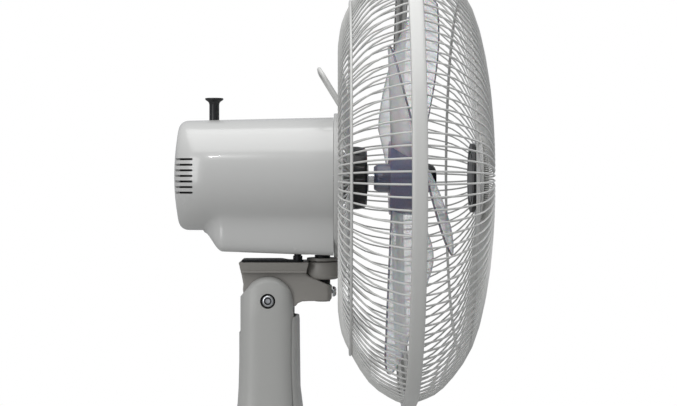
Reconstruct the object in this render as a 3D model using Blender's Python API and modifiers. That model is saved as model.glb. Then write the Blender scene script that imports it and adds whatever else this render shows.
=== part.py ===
"""A pedestal fan, built as separate parts: weighted base, telescopic pole, control box, tilting and swivelling head.

Blender 4.5, metres, +Z up. The origin lies on the floor under the pole, and the fan blows towards -Y.
Places on the head are given as (radius, forward), where forward runs from the pole axis towards -Y.
"""

import math

import bmesh
import bpy
from mathutils import Vector

GAP = 0.0003

# Driving dimensions
AXIS_Z = 0.900
TILT_Z = AXIS_Z - 0.120
SWIVEL_FORWARD = 0.053
GUARD_RADIUS = 0.225
BLADE_RADIUS = 0.197
BLADE_COUNT = 3
GUARD_WIRES = 18
BASE_RADIUS = 0.210
FOOT_HEIGHT = 0.004
TRAVEL_GAP = 0.0005

# Pole
OUTER_TUBE_RADIUS = 0.0155
INNER_TUBE_RADIUS = 0.0125
TUBE_WALL = 0.0014
OUTER_TUBE_TOP = 0.440
INNER_TUBE_BOTTOM = 0.060
INNER_TUBE_TOP = AXIS_Z - 0.180
COLLAR_TOP = 0.462

# Control box
BOX_BOTTOM = 0.482
BOX_TOP = 0.648
BOX_REAR = 0.044
BOX_FRONT = -0.048
BOX_HALF_WIDTH = 0.056
BUTTON_COUNT = 4
BUTTON_PITCH = 0.018
BUTTON_TRAVEL = 0.004
BUTTON_DEPTH = 0.010
BUTTON_Z = 0.531
TIMER_Z = 0.592

# Neck
NECK_BOTTOM = BOX_TOP + GAP
NECK_HALF_WIDTH = 0.027
FORK_SLOT_HALF = 0.0165
TILT_BOLT_RADIUS = 0.0032

# Motor, in forward distances
CORE_REAR = -0.005
CORE_FRONT = 0.025
CORE_RADIUS = 0.039
SHAFT_RADIUS = 0.004
SHAFT_REAR = -0.068
SHAFT_FRONT = 0.158

# Oscillation drive
WORM_FORWARD = -0.056
WHEEL_X = 0.018
CRANK_X = -0.006
CRANK_FORWARD = -0.032
CRANK_PIN_RADIUS = 0.013
CRANK_PIN_DEG = 144.9
ANCHOR_X = -0.018
ANCHOR_FORWARD = 0.029
LINK_TOP = AXIS_Z - 0.0515
LINK_THICKNESS = 0.0025
BRACKET_TOP = AXIS_Z - 0.0823


# ------------------------------------------------------------------ scene, materials and small tools

def clear_scene():
    for obj in list(bpy.data.objects):
        bpy.data.objects.remove(obj, do_unlink=True)


def new_collection(name):
    collection = bpy.data.collections.new(name)
    bpy.context.scene.collection.children.link(collection)
    return collection


def new_material(name, colour, roughness, metallic=0.0, alpha=1.0):
    material = bpy.data.materials.new(name)
    material.use_nodes = True
    shader = material.node_tree.nodes["Principled BSDF"]
    shader.inputs["Base Color"].default_value = (*colour, 1.0)
    shader.inputs["Roughness"].default_value = roughness
    shader.inputs["Metallic"].default_value = metallic
    shader.inputs["Alpha"].default_value = alpha
    return material


def place(name, mesh, material=None):
    """Adds a mesh as a part, or as a hidden cutter when it has no material."""
    obj = bpy.data.objects.new(name, mesh)
    if material is None:
        CUTTERS.objects.link(obj)
        obj.hide_render = True
        obj.display_type = "WIRE"
    else:
        PARTS.objects.link(obj)
        mesh.materials.append(material)
    return obj


def smooth(obj, degrees=40):
    obj.data.shade_smooth()
    obj.data.set_sharp_from_angle(angle=math.radians(degrees))
    return obj


def forward_frame(obj, at_z=AXIS_Z):
    """Turns an object's own +Z forward, to -Y, with its origin on the fan axis."""
    obj.rotation_euler = (math.radians(90), 0, 0)
    obj.location = (0, 0, at_z)
    return obj


def turned(name, profile, material=None, steps=20, ring=False, at=(0, 0, 0), forward=False):
    """A turned shape: a profile of (radius, height) that runs down its outer side, spun by a Screw modifier."""
    mesh = bpy.data.meshes.new(name)
    count = len(profile)
    edges = [(i, i + 1) for i in range(count - 1)]
    if ring:
        edges.append((count - 1, 0))
    mesh.from_pydata([(r, 0, h) for r, h in profile], edges, [])
    obj = place(name, mesh, material)
    screw = obj.modifiers.new("turn", "SCREW")
    screw.steps = steps
    screw.render_steps = steps
    screw.use_merge_vertices = True
    screw.merge_threshold = 0.00001
    if forward:
        forward_frame(obj)
    else:
        obj.location = at
    return obj


def tube_profile(outer, inner, top, bottom):
    return [(outer, top), (outer, bottom), (inner, bottom), (inner, top)]


def rod_profile(radius, top, bottom, edge=0.0):
    if edge:
        return [(0, top), (radius - edge, top), (radius, top - edge), (radius, bottom + edge),
                (radius - edge, bottom), (0, bottom)]
    return [(0, top), (radius, top), (radius, bottom), (0, bottom)]


def block(name, low, high, material=None, edge=0.0, segments=2):
    """A box between two corners, with rounded edges if asked."""
    mesh = bpy.data.meshes.new(name)
    low, high = Vector(low), Vector(high)
    size = high - low
    bm = bmesh.new()
    bmesh.ops.create_cube(bm, size=1.0)
    for vert in bm.verts:
        vert.co = Vector(vert.co[i] * size[i] for i in range(3))
    bm.to_mesh(mesh)
    bm.free()
    obj = place(name, mesh, material)
    obj.location = (low + high) / 2
    if edge:
        bevel = obj.modifiers.new("edges", "BEVEL")
        bevel.width = edge
        bevel.segments = segments
        bevel.limit_method = "NONE"
    return obj


def meshed(name, curve_obj, material=None):
    """A curve made a mesh that a Boolean can use, with its caps welded."""
    bpy.context.view_layer.update()
    evaluated = curve_obj.evaluated_get(bpy.context.evaluated_depsgraph_get())
    mesh = bpy.data.meshes.new_from_object(evaluated)
    bm = bmesh.new()
    bm.from_mesh(mesh)
    bmesh.ops.remove_doubles(bm, verts=bm.verts, dist=0.000005)
    bmesh.ops.recalc_face_normals(bm, faces=bm.faces)
    bm.to_mesh(mesh)
    bm.free()
    mesh.materials.clear()
    obj = place(name, mesh, material)
    obj.matrix_world = curve_obj.matrix_world.copy()
    bpy.data.objects.remove(curve_obj, do_unlink=True)
    return obj


def plate(name, outline, half_thickness, material=None, facing="X"):
    """A flat outline with thickness. Facing X it is drawn in (forward, z), facing Z in (x, y)."""
    curve = bpy.data.curves.new(f"{name}_outline", "CURVE")
    curve.dimensions = "2D"
    curve.fill_mode = "BOTH"
    curve.extrude = half_thickness
    spline = curve.splines.new("POLY")
    spline.points.add(len(outline) - 1)
    for point, (a, b) in zip(spline.points, outline):
        point.co = (a, b, 0, 1)
    spline.use_cyclic_u = True
    obj = bpy.data.objects.new(curve.name, curve)
    bpy.context.scene.collection.objects.link(obj)
    if facing == "X":
        # Local x runs forward (-Y), local y runs up.
        obj.rotation_euler = (math.radians(90), 0, math.radians(-90))
    return meshed(name, obj, material)


def wire(name, points, radius, material=None, sides=2):
    """A bent rod through points in world space."""
    curve = bpy.data.curves.new(f"{name}_path", "CURVE")
    curve.dimensions = "3D"
    curve.bevel_depth = radius
    curve.bevel_resolution = sides
    curve.use_fill_caps = True
    spline = curve.splines.new("POLY")
    spline.points.add(len(points) - 1)
    for point, place_at in zip(spline.points, points):
        point.co = (*place_at, 1)
    obj = bpy.data.objects.new(curve.name, curve)
    bpy.context.scene.collection.objects.link(obj)
    return meshed(name, obj, material)


def boolean(obj, other, operation="DIFFERENCE"):
    modifier = obj.modifiers.new(operation.lower(), "BOOLEAN")
    modifier.operation = operation
    modifier.solver = "EXACT"
    modifier.object = other
    return obj


def arc(centre, radius, start_deg, end_deg, steps):
    """Points along an arc in the plane of an outline."""
    points = []
    for i in range(steps + 1):
        angle = math.radians(start_deg + (end_deg - start_deg) * i / steps)
        points.append((centre[0] + radius * math.cos(angle), centre[1] + radius * math.sin(angle)))
    return points


def rounded(x, z, power, steps):
    """Points round a soft rectangle of half sizes x and z, a superellipse."""
    points = []
    for i in range(steps):
        angle = 2 * math.pi * i / steps
        c, s = math.cos(angle), math.sin(angle)
        points.append((x * math.copysign(abs(c) ** (2 / power), c), z * math.copysign(abs(s) ** (2 / power), s)))
    return points


def loft(name, sections, material=None):
    """A solid skin through rings of equally many points, closed at both ends."""
    mesh = bpy.data.meshes.new(name)
    bm = bmesh.new()
    rings = [[bm.verts.new(point) for point in section] for section in sections]
    for lower, upper in zip(rings, rings[1:]):
        for i in range(len(lower)):
            j = (i + 1) % len(lower)
            bm.faces.new((lower[i], lower[j], upper[j], upper[i]))
    bm.faces.new(rings[0][::-1])
    bm.faces.new(rings[-1])
    bmesh.ops.recalc_face_normals(bm, faces=bm.faces)
    bm.to_mesh(mesh)
    bm.free()
    return place(name, mesh, material)


def pivot(name, at, parent=None):
    """An empty on a joint's axis, which its moving parts hang from."""
    empty = bpy.data.objects.new(name, None)
    empty.empty_display_size = 0.02
    PARTS.objects.link(empty)
    empty.location = at
    if parent:
        attach(empty, parent)
    return empty


def attach(obj, parent):
    bpy.context.view_layer.update()
    obj.parent = parent
    obj.matrix_parent_inverse = parent.matrix_world.inverted()
    return obj


clear_scene()
PARTS = new_collection("Pedestal fan")
CUTTERS = new_collection("Cutters")

GREY_ABS = new_material("grey_abs", (0.50, 0.50, 0.48), 0.30)
GREY_STEEL = new_material("grey_painted_steel", (0.50, 0.49, 0.46), 0.35, 0.2)
BLACK_PLASTIC = new_material("black_plastic", (0.02, 0.02, 0.022), 0.35)
BLADE_PLASTIC = new_material("clear_blade", (0.62, 0.62, 0.78), 0.08, 0.0, 0.4)
BRIGHT_STEEL = new_material("bright_steel", (0.72, 0.73, 0.75), 0.22, 1.0)
CAST_IRON = new_material("cast_iron", (0.10, 0.10, 0.10), 0.7, 0.6)
RUBBER = new_material("rubber", (0.03, 0.03, 0.03), 0.8)
ALUMINIUM = new_material("cast_aluminium", (0.65, 0.66, 0.67), 0.45, 0.9)
COPPER = new_material("copper_winding", (0.60, 0.28, 0.12), 0.4, 0.6)
LAMINATION = new_material("lamination_steel", (0.30, 0.31, 0.33), 0.5, 0.9)
NYLON = new_material("white_nylon", (0.80, 0.78, 0.70), 0.45)
BRASS = new_material("brass", (0.70, 0.52, 0.22), 0.35, 1.0)

POLE = pivot("height_axis", (0, 0, COLLAR_TOP))
TILT = pivot("tilt_axis", (0, 0, TILT_Z), POLE)
SWIVEL = pivot("swivel_axis", (0, -SWIVEL_FORWARD, BRACKET_TOP), TILT)
SPIN = pivot("spin_axis", (0, 0, AXIS_Z), SWIVEL)


# ------------------------------------------------------------------ base

def make_base():
    """A domed cover over an iron plate, which a hand nut clamps to the foot of the outer tube."""
    wall = 0.003
    dome = [(BASE_RADIUS, 0.013), (BASE_RADIUS - 0.006, 0.020), (0.145, 0.0305), (0.060, 0.0405)]
    outer = [(OUTER_TUBE_RADIUS + GAP, 0.043)] + dome[::-1] + [(BASE_RADIUS, FOOT_HEIGHT)]
    inner = [(BASE_RADIUS - wall, FOOT_HEIGHT)]
    inner += [(r - wall, h - wall) for r, h in dome]
    inner += [(OUTER_TUBE_RADIUS + GAP, 0.038)]
    smooth(turned("base_cover", outer + inner, GREY_ABS, steps=36, ring=True))
    weight = tube_profile(0.170, OUTER_TUBE_RADIUS + GAP, 0.0135, 0.0085)
    smooth(turned("base_weight", weight, CAST_IRON, steps=36, ring=True))
    nut = [(0.024, 0.0082), (0.024, 0.0050), (0, 0.0050), (0, 0.0082)]
    smooth(turned("base_hand_nut", nut[3:] + nut[:3], BLACK_PLASTIC, steps=16))
    for i in range(4):
        angle = math.radians(45 + 90 * i)
        at = (0.150 * math.cos(angle), 0.150 * math.sin(angle), 0)
        foot = [(0, 0.0082), (0.012, 0.0082), (0.012, 0.0008), (0.0112, 0), (0, 0)]
        smooth(turned(f"base_foot_{i + 1}", foot, RUBBER, steps=12, at=at))


def make_pole():
    """Two steel tubes, one sliding in the other, with a clamping collar and its knob."""
    outer = tube_profile(OUTER_TUBE_RADIUS, OUTER_TUBE_RADIUS - TUBE_WALL, OUTER_TUBE_TOP, 0.0088)
    smooth(turned("outer_tube", outer, GREY_STEEL, ring=True))
    flange = [(0.0160, 0.066), (0.0200, 0.066), (0.0225, 0.058), (0.0300, 0.0475), (0.0400, 0.0440),
              (0.0400, 0.0434), (0.0160, 0.0434)]
    smooth(turned("tube_flange", flange, GREY_ABS, ring=True))
    inner = tube_profile(INNER_TUBE_RADIUS, INNER_TUBE_RADIUS - 0.0012, INNER_TUBE_TOP, INNER_TUBE_BOTTOM)
    tube = smooth(turned("inner_tube", inner, BRIGHT_STEEL, ring=True))
    attach(tube, POLE)

    bore = INNER_TUBE_RADIUS + GAP
    seat = OUTER_TUBE_RADIUS + GAP
    collar = [(bore, COLLAR_TOP), (0.0180, COLLAR_TOP), (0.0215, 0.456), (0.0225, 0.405), (0.0190, 0.385),
              (seat, 0.385), (seat, OUTER_TUBE_TOP + GAP), (bore, OUTER_TUBE_TOP + GAP)]
    collar = turned("height_collar", collar, GREY_ABS, ring=True)
    hole = turned("collar_screw_hole", rod_profile(0.0043, 0.030, 0.012), steps=16)
    hole.rotation_euler = (math.radians(-90), 0, 0)
    hole.location = (0, 0, 0.4520)
    boolean(smooth(collar), hole)

    knob_axis = pivot("height_knob_axis", (0, 0.030, 0.4520))
    grip = [(0, 0.054), (0.013, 0.054), (0.0155, 0.0525), (0.0155, 0.038), (0.012, 0.0355), (0.0075, 0.026),
            (0.0039, 0.026), (0.0039, 0.0133), (0, 0.0133)]
    knob = turned("height_lock_knob", grip, BLACK_PLASTIC, steps=14)
    knob.rotation_euler = (math.radians(-90), 0, 0)
    knob.location = (0, 0, 0.4520)
    smooth(knob)
    wing = block("height_knob_wing", (-0.006, 0.040, 0.432), (0.006, 0.0535, 0.472), edge=0.0015)
    boolean(knob, wing, "UNION")
    attach(knob, knob_axis)


# ------------------------------------------------------------------ control box and neck

def box_section(half_x, rear, front, z, power=4.0, steps=24):
    middle = (rear + front) / 2
    half_y = (rear - front) / 2
    return [(x, middle + y, z) for x, y in rounded(half_x, half_y, power, steps)]


def make_control_box():
    """The switch housing round the inner tube, with its panel, buttons and timer on the front."""
    top_x, top_rear, top_front = 0.031, 0.037, -0.036
    sections = [
        box_section(0.030, 0.026, -0.026, BOX_BOTTOM),
        box_section(0.046, 0.037, -0.040, BOX_BOTTOM + 0.006),
        box_section(BOX_HALF_WIDTH, BOX_REAR, BOX_FRONT, BOX_BOTTOM + 0.030),
        box_section(BOX_HALF_WIDTH, BOX_REAR, BOX_FRONT, BOX_TOP - 0.040),
        box_section(0.046, 0.041, -0.043, BOX_TOP - 0.018, 3.4),
        box_section(top_x, top_rear, top_front, BOX_TOP, 2.6),
    ]
    box = loft("control_box", sections, GREY_ABS)
    wall = 0.0035
    hollow = [[(x * 0.93, y * 0.91, min(z, BOX_TOP - wall)) for x, y, z in section] for section in sections[1:]]
    boolean(box, loft("control_box_hollow", hollow))
    bore = turned("control_box_bore", rod_profile(INNER_TUBE_RADIUS + GAP, BOX_TOP + 0.01, BOX_BOTTOM - 0.01))
    boolean(box, bore)
    window = block("control_box_window", (-0.0435, BOX_FRONT - 0.010, BOX_BOTTOM + 0.034),
                   (0.0435, BOX_FRONT + 0.012, BOX_TOP - 0.044))
    boolean(box, window)
    gland_hole = turned("gland_hole", rod_profile(0.0052, 0.060, 0.030), steps=16)
    gland_hole.rotation_euler = (math.radians(-90), 0, 0)
    gland_hole.location = (0.028, 0, BOX_BOTTOM + 0.040)
    boolean(box, gland_hole)
    attach(smooth(box, 50), POLE)

    low = (-0.0432, BOX_FRONT - 0.0020, BOX_BOTTOM + 0.0343)
    high = (0.0432, BOX_FRONT + 0.0020, BOX_TOP - 0.0443)
    panel = block("control_panel", low, high, GREY_ABS, edge=0.0012, segments=1)
    for i in range(BUTTON_COUNT):
        x = button_x(i)
        slot = block(f"button_slot_{i + 1}", (x - 0.0075, BOX_FRONT - 0.02, BUTTON_Z - 0.0115),
                     (x + 0.0075, BOX_FRONT + 0.02, BUTTON_Z + 0.0115))
        boolean(panel, slot)
    timer_hole = turned("timer_hole", rod_profile(0.0036, 0.070, 0.030), steps=16)
    forward_frame(timer_hole, TIMER_Z)
    boolean(panel, timer_hole)
    attach(panel, POLE)

    switch_front = BOX_FRONT + BUTTON_DEPTH + BUTTON_TRAVEL + TRAVEL_GAP
    switch = block("switch_block", (-0.0395, switch_front, BUTTON_Z - 0.011),
                   (0.0395, switch_front + 0.0150, BUTTON_Z + 0.011), BLACK_PLASTIC, edge=0.001, segments=1)
    attach(switch, POLE)
    timer = block("timer_unit", (-0.0175, -0.0425, TIMER_Z - 0.014), (0.0175, -0.0180, TIMER_Z + 0.014),
                  NYLON, edge=0.001, segments=1)
    attach(timer, POLE)
    capacitor = block("motor_capacitor", (-0.022, 0.0165, BOX_BOTTOM + 0.060), (0.016, 0.0315, BOX_BOTTOM + 0.088),
                      BLACK_PLASTIC, edge=0.001, segments=1)
    attach(capacitor, POLE)

    gland = [(0, 0.0500), (0.0035, 0.0500), (0.0048, 0.0480), (0.0075, 0.0470), (0.0075, 0.0443), (0.0049, 0.0443),
             (0.0049, 0.0340), (0, 0.0340)]
    gland = turned("cord_gland", gland, BLACK_PLASTIC, steps=12)
    gland.rotation_euler = (math.radians(-90), 0, 0)
    gland.location = (0.028, 0, BOX_BOTTOM + 0.040)
    mouth = turned("gland_mouth", rod_profile(0.0026, 0.060, 0.037), steps=12)
    mouth.rotation_euler = (math.radians(-90), 0, 0)
    mouth.location = (0.028, 0, BOX_BOTTOM + 0.040)
    boolean(smooth(gland), mouth)
    attach(gland, POLE)


def button_x(index):
    return (index - (BUTTON_COUNT - 1) / 2) * BUTTON_PITCH


def make_controls():
    """Four speed buttons that push in, and the timer knob on the shaft of its unit."""
    for i in range(BUTTON_COUNT):
        x = button_x(i)
        axis = pivot(f"button_axis_{i + 1}", (x, BOX_FRONT, BUTTON_Z), POLE)
        button = block(f"speed_button_{i + 1}", (x - 0.0072, BOX_FRONT - 0.0095, BUTTON_Z - 0.0112),
                       (x + 0.0072, BOX_FRONT + BUTTON_DEPTH, BUTTON_Z + 0.0112), BLACK_PLASTIC,
                       edge=0.0012, segments=1)
        attach(button, axis)
    axis = pivot("timer_axis", (0, BOX_FRONT, TIMER_Z), POLE)
    front = -BOX_FRONT
    knob = [(0, front + 0.0170), (0.0110, front + 0.0170), (0.0125, front + 0.0150), (0.0140, front + 0.0028),
            (0.0033, front + 0.0028), (0.0033, front - 0.0052), (0, front - 0.0052)]
    knob = turned("timer_knob", knob, BLACK_PLASTIC, steps=18, forward=True)
    knob.location = (0, 0, TIMER_Z)
    rib = block("timer_rib", (-0.0018, BOX_FRONT - 0.0200, TIMER_Z - 0.0115),
                (0.0018, BOX_FRONT - 0.0140, TIMER_Z + 0.0115))
    boolean(smooth(knob), rib, "UNION")
    attach(knob, axis)


def make_neck():
    """A round-sided post that flares into the control box and ends above in a fork for the tilt bracket."""
    rear, front = 0.0292, -0.0268
    sections = []
    for z, more in ((NECK_BOTTOM, 0.0065), (NECK_BOTTOM + 0.018, 0.0032), (NECK_BOTTOM + 0.045, 0.0008),
                    (TILT_Z - 0.060, 0.0), (TILT_Z + 0.026, 0.0)):
        sections.append(box_section(NECK_HALF_WIDTH + more * 0.7, rear + more, front - more * 0.8, z, 2.5))
    neck = loft("neck_post", sections, GREY_ABS)
    hollow = [[(x * 0.88, y * 0.88, z) for x, y, z in section] for section in
              (box_section(NECK_HALF_WIDTH, rear, front, NECK_BOTTOM - 0.005, 2.5),
               box_section(NECK_HALF_WIDTH, rear, front, INNER_TUBE_TOP + 0.003, 2.5))]
    boolean(neck, loft("neck_hollow", hollow))
    # The fork's side outline: an arch over the tilt bolt, cut from a block that is larger than the post.
    top = TILT_Z
    outline = [(-0.034, top - 0.004), (-0.0292, top + 0.001), (-0.0145, top + 0.0165)]
    outline += arc((0, top - 0.0005), 0.0240, 128, 20, 10)
    outline += [(0.0262, top - 0.006), (0.034, top - 0.008), (0.034, top + 0.060), (-0.034, top + 0.060)]
    boolean(neck, plate("neck_arch_cutter", outline, 0.060))
    slot = block("fork_slot", (-FORK_SLOT_HALF, -0.06, TILT_Z - 0.0325), (FORK_SLOT_HALF, 0.06, TILT_Z + 0.06))
    boolean(neck, slot)
    bolt_hole = turned("tilt_bolt_hole", rod_profile(TILT_BOLT_RADIUS + GAP, 0.06, -0.06), steps=16)
    bolt_hole.rotation_euler = (0, math.radians(90), 0)
    bolt_hole.location = (0, 0, TILT_Z)
    boolean(neck, bolt_hole)
    for side, name in ((-1, "bolt_head_recess"), (1, "bolt_nut_recess")):
        recess = turned(name, rod_profile(0.0074, 0.060, 0.0225), steps=24)
        recess.rotation_euler = (0, math.radians(90 * side), 0)
        recess.location = (0, 0, TILT_Z)
        boolean(neck, recess)
    attach(smooth(neck, 35), POLE)

    cover_sections = []
    for z, more in ((NECK_BOTTOM + 0.012, 0.0036), (NECK_BOTTOM + 0.045, 0.0008), (TILT_Z - 0.060, 0.0),
                    (TILT_Z - 0.016, 0.0)):
        cover_sections.append(box_section(NECK_HALF_WIDTH - 0.004, rear, front - 0.0036 - more, z, 2.5))
    cover = loft("neck_front_cover", cover_sections, GREY_ABS)
    behind = [box_section(NECK_HALF_WIDTH + more * 0.7 + GAP, rear + more, front - more * 0.8 - GAP, z, 2.5)
              for z, more in ((NECK_BOTTOM - 0.002, 0.0072), (NECK_BOTTOM + 0.018, 0.0032),
                              (NECK_BOTTOM + 0.045, 0.0008), (TILT_Z - 0.060, 0.0), (TILT_Z + 0.026, 0.0))]
    boolean(cover, loft("neck_cover_cutter", behind))
    keep_front = block("neck_cover_rear_cutter", (-0.04, -0.0170, BOX_BOTTOM), (0.04, 0.06, TILT_Z + 0.03))
    boolean(cover, keep_front)
    attach(smooth(cover, 35), POLE)

    bolt = [(0, 0.0262), (0.0040, 0.0262), (0.0058, 0.0252), (0.0058, 0.0229), (TILT_BOLT_RADIUS, 0.0229),
            (TILT_BOLT_RADIUS, -0.0255), (0, -0.0255)]
    bolt = turned("tilt_bolt", bolt, BRIGHT_STEEL, steps=14)
    bolt.rotation_euler = (0, math.radians(-90), 0)
    bolt.location = (0, 0, TILT_Z)
    drive = turned("tilt_bolt_drive", rod_profile(0.0030, 0.0300, 0.0247), steps=6)
    drive.rotation_euler = (0, math.radians(-90), 0)
    drive.location = (0, 0, TILT_Z)
    boolean(smooth(bolt), drive)
    attach(bolt, POLE)
    nut = turned("tilt_nut", rod_profile(0.0062, 0.0262, 0.0229), BRIGHT_STEEL, steps=6)
    nut.rotation_euler = (0, math.radians(90), 0)
    nut.location = (0, 0, TILT_Z)
    boolean(nut, bolt_hole)
    attach(nut, POLE)


# ------------------------------------------------------------------ tilt bracket

def make_bracket():
    """The cast bracket: a tongue in the neck's fork, a deck on top and the boss of the swivel in front."""
    top = BRACKET_TOP
    deck_low = top - 0.0095
    tongue = [(-0.0280, top - 0.004), (-0.0245, top - 0.022), (-0.0255, top - 0.030), (-0.018, TILT_Z - 0.010)]
    tongue += arc((0, TILT_Z), 0.0195, 205, 300, 6)
    tongue += [(0.0300, TILT_Z - 0.0030), (0.0610, TILT_Z - 0.0025), (0.0625, TILT_Z - 0.0010),
               (0.0625, top - 0.012), (0.050, top - 0.004)]
    bracket = plate("tilt_bracket", tongue, FORK_SLOT_HALF - 0.0005, GREY_ABS)
    # The arm's front corners are cut back, so that the guard swings clear of them.
    for side, name in ((-1, "arm_corner_left"), (1, "arm_corner_right")):
        corner = [(side * 0.0085, -0.0640), (side * 0.0200, -0.0640), (side * 0.0200, -0.0525)]
        cutter = plate(name, corner[::side], 0.030, facing="Z")
        cutter.location = (0, 0, TILT_Z + 0.010)
        boolean(bracket, cutter)
    deck = block("bracket_deck", (-0.0265, -0.0400, deck_low), (0.0265, 0.0285, top), edge=0.0015)
    boolean(bracket, deck, "UNION")
    boss = [(0, top - 0.0005), (0.0172, top - 0.0005), (0.0180, top - 0.0015), (0.0180, top - 0.0140),
            (0.0150, top - 0.0185), (0, top - 0.0185)]
    boss = turned("bracket_boss", boss, at=(0, -SWIVEL_FORWARD, 0))
    boolean(bracket, boss, "UNION")
    bore = turned("bracket_bore", rod_profile(0.0080, top + 0.010, TILT_Z - 0.010), at=(0, -SWIVEL_FORWARD, 0),
                  steps=24)
    boolean(bracket, bore)
    bolt_hole = turned("bracket_bolt_hole", rod_profile(TILT_BOLT_RADIUS + GAP, 0.06, -0.06), steps=16)
    bolt_hole.rotation_euler = (0, math.radians(90), 0)
    bolt_hole.location = (0, 0, TILT_Z)
    boolean(bracket, bolt_hole)
    screw_hole = turned("bracket_screw_hole", rod_profile(0.0023, 0.080, 0.0600), steps=12, forward=True)
    screw_hole.location = (0, 0, TILT_Z + 0.0075)
    boolean(bracket, screw_hole)
    attach(smooth(bracket, 35), TILT)

    screw = [(0, 0.0668), (0.0028, 0.0668), (0.0048, 0.0656), (0.0052, 0.0629), (0.0020, 0.0629), (0.0020, 0.0612),
             (0, 0.0612)]
    screw = turned("bracket_screw", screw, BRIGHT_STEEL, steps=16, forward=True)
    screw.location = (0, 0, TILT_Z + 0.0075)
    attach(smooth(screw), TILT)

    anchor = plate("anchor_plate", anchor_outline(), 0.0010, BLACK_PLASTIC, facing="Z")
    anchor.location = (0, 0, top + GAP + 0.0010)
    stud = turned("anchor_stud", rod_profile(0.0036, LINK_TOP + 0.0010, top + 0.0008, 0.0004), steps=16,
                  at=(ANCHOR_X, -ANCHOR_FORWARD, 0))
    foot = turned("anchor_stud_foot", rod_profile(0.0046, top + 0.0062, top + 0.0008), steps=16,
                  at=(ANCHOR_X, -ANCHOR_FORWARD, 0))
    boolean(anchor, stud, "UNION")
    boolean(anchor, foot, "UNION")
    attach(anchor, TILT)

    washer = tube_profile(0.0155, 0.0083, top + 0.0033, top + 0.0003)
    washer = turned("swivel_washer", washer, BLACK_PLASTIC, ring=True, at=(0, -SWIVEL_FORWARD, 0))
    attach(smooth(washer), TILT)


def anchor_outline():
    """A strip on the deck from its rear end to the stud beside the swivel."""
    stud = (ANCHOR_X, -ANCHOR_FORWARD)
    outline = [(0.010, 0.0255), (-0.020, 0.0255), (-0.0225, 0.0225)]
    outline += arc(stud, 0.0058, 180, 340, 6)
    outline += [(-0.008, -0.020), (0.0125, -0.012), (0.0125, 0.0230)]
    return outline[::-1]


def make_link():
    """The flat drive link, which turns on the anchor stud and reaches back to the crank pin."""
    angle = math.radians(CRANK_PIN_DEG)
    pin = Vector((CRANK_X + CRANK_PIN_RADIUS * math.cos(angle),
                  -CRANK_FORWARD + CRANK_PIN_RADIUS * math.sin(angle)))
    stud = Vector((ANCHOR_X, -ANCHOR_FORWARD))
    run = math.degrees(math.atan2(pin.y - stud.y, pin.x - stud.x))
    outline = arc(pin, 0.0055, run - 90, run + 90, 8) + arc(stud, 0.0058, run + 90, run + 270, 8)
    link = plate("oscillation_link", outline, LINK_THICKNESS / 2, BRIGHT_STEEL, facing="Z")
    link.location = (0, 0, LINK_TOP - LINK_THICKNESS / 2)
    eye = turned("link_eye", rod_profile(0.0036 + GAP, LINK_TOP + 0.01, LINK_TOP - 0.01), steps=16, at=(*stud, 0))
    boolean(link, eye)
    pin_eye = turned("link_pin_eye", rod_profile(0.0030, LINK_TOP + 0.01, LINK_TOP - 0.01), steps=16, at=(*pin, 0))
    boolean(link, pin_eye)
    axis = pivot("link_axis", (ANCHOR_X, -ANCHOR_FORWARD, LINK_TOP), TILT)
    attach(link, axis)


# ------------------------------------------------------------------ motor housing

def housing_rings(inset, rear, front, steps=28):
    """Rings of the round housing, from its domed rear face forward, over corners that are wider at the sides."""
    rings = []
    stations = [(rear, 0.0400, 0.0400), (rear + 0.0025, 0.0270, 0.0210), (rear + 0.0050, 0.0160, 0.0070),
                (rear + 0.0075, 0.0099, 0.0022), (rear + 0.0140, 0.0050, 0.0), (rear + 0.0240, 0.0015, 0.0),
                (rear + 0.0380, 0.0, 0.0), (front, 0.0, 0.0)]
    for forward, shrink_x, shrink_z in stations:
        share = (forward + 0.093) / (0.064 + 0.093)
        top = 0.0565 + 0.0035 * share - inset - shrink_z
        bottom = -0.0515 - 0.0010 * share + inset + shrink_z
        half_x = 0.0560 + 0.0030 * share - inset - shrink_x
        middle, half_z = (top + bottom) / 2, (top - bottom) / 2
        rings.append([(x, -forward, AXIS_Z + middle + z) for x, z in rounded(half_x, half_z, 2.25, steps)])
    return rings


def bulge(name, inset, front, material=None):
    """The keel under the housing, which holds the swing drive: its rear slopes up to the round body."""
    half = 0.0390 - inset
    low_rear, low_front = -0.0715 + inset, -0.0755 + inset
    lift = 0.020
    rear_top = (-0.0640 + inset, -0.035 + lift)
    side = [rear_top, (-0.0625 + inset, -0.0530), (-0.0450 + inset, low_rear), (front, low_front),
            (front, -0.035 + lift)]
    outline = [(forward, AXIS_Z + z) for forward, z in side]
    body = plate(name, outline, half, material)
    if not inset:
        bevel = body.modifiers.new("edges", "BEVEL")
        bevel.width = 0.006
        bevel.segments = 2
        bevel.limit_method = "ANGLE"
        bevel.angle_limit = math.radians(60)
    return body


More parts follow.
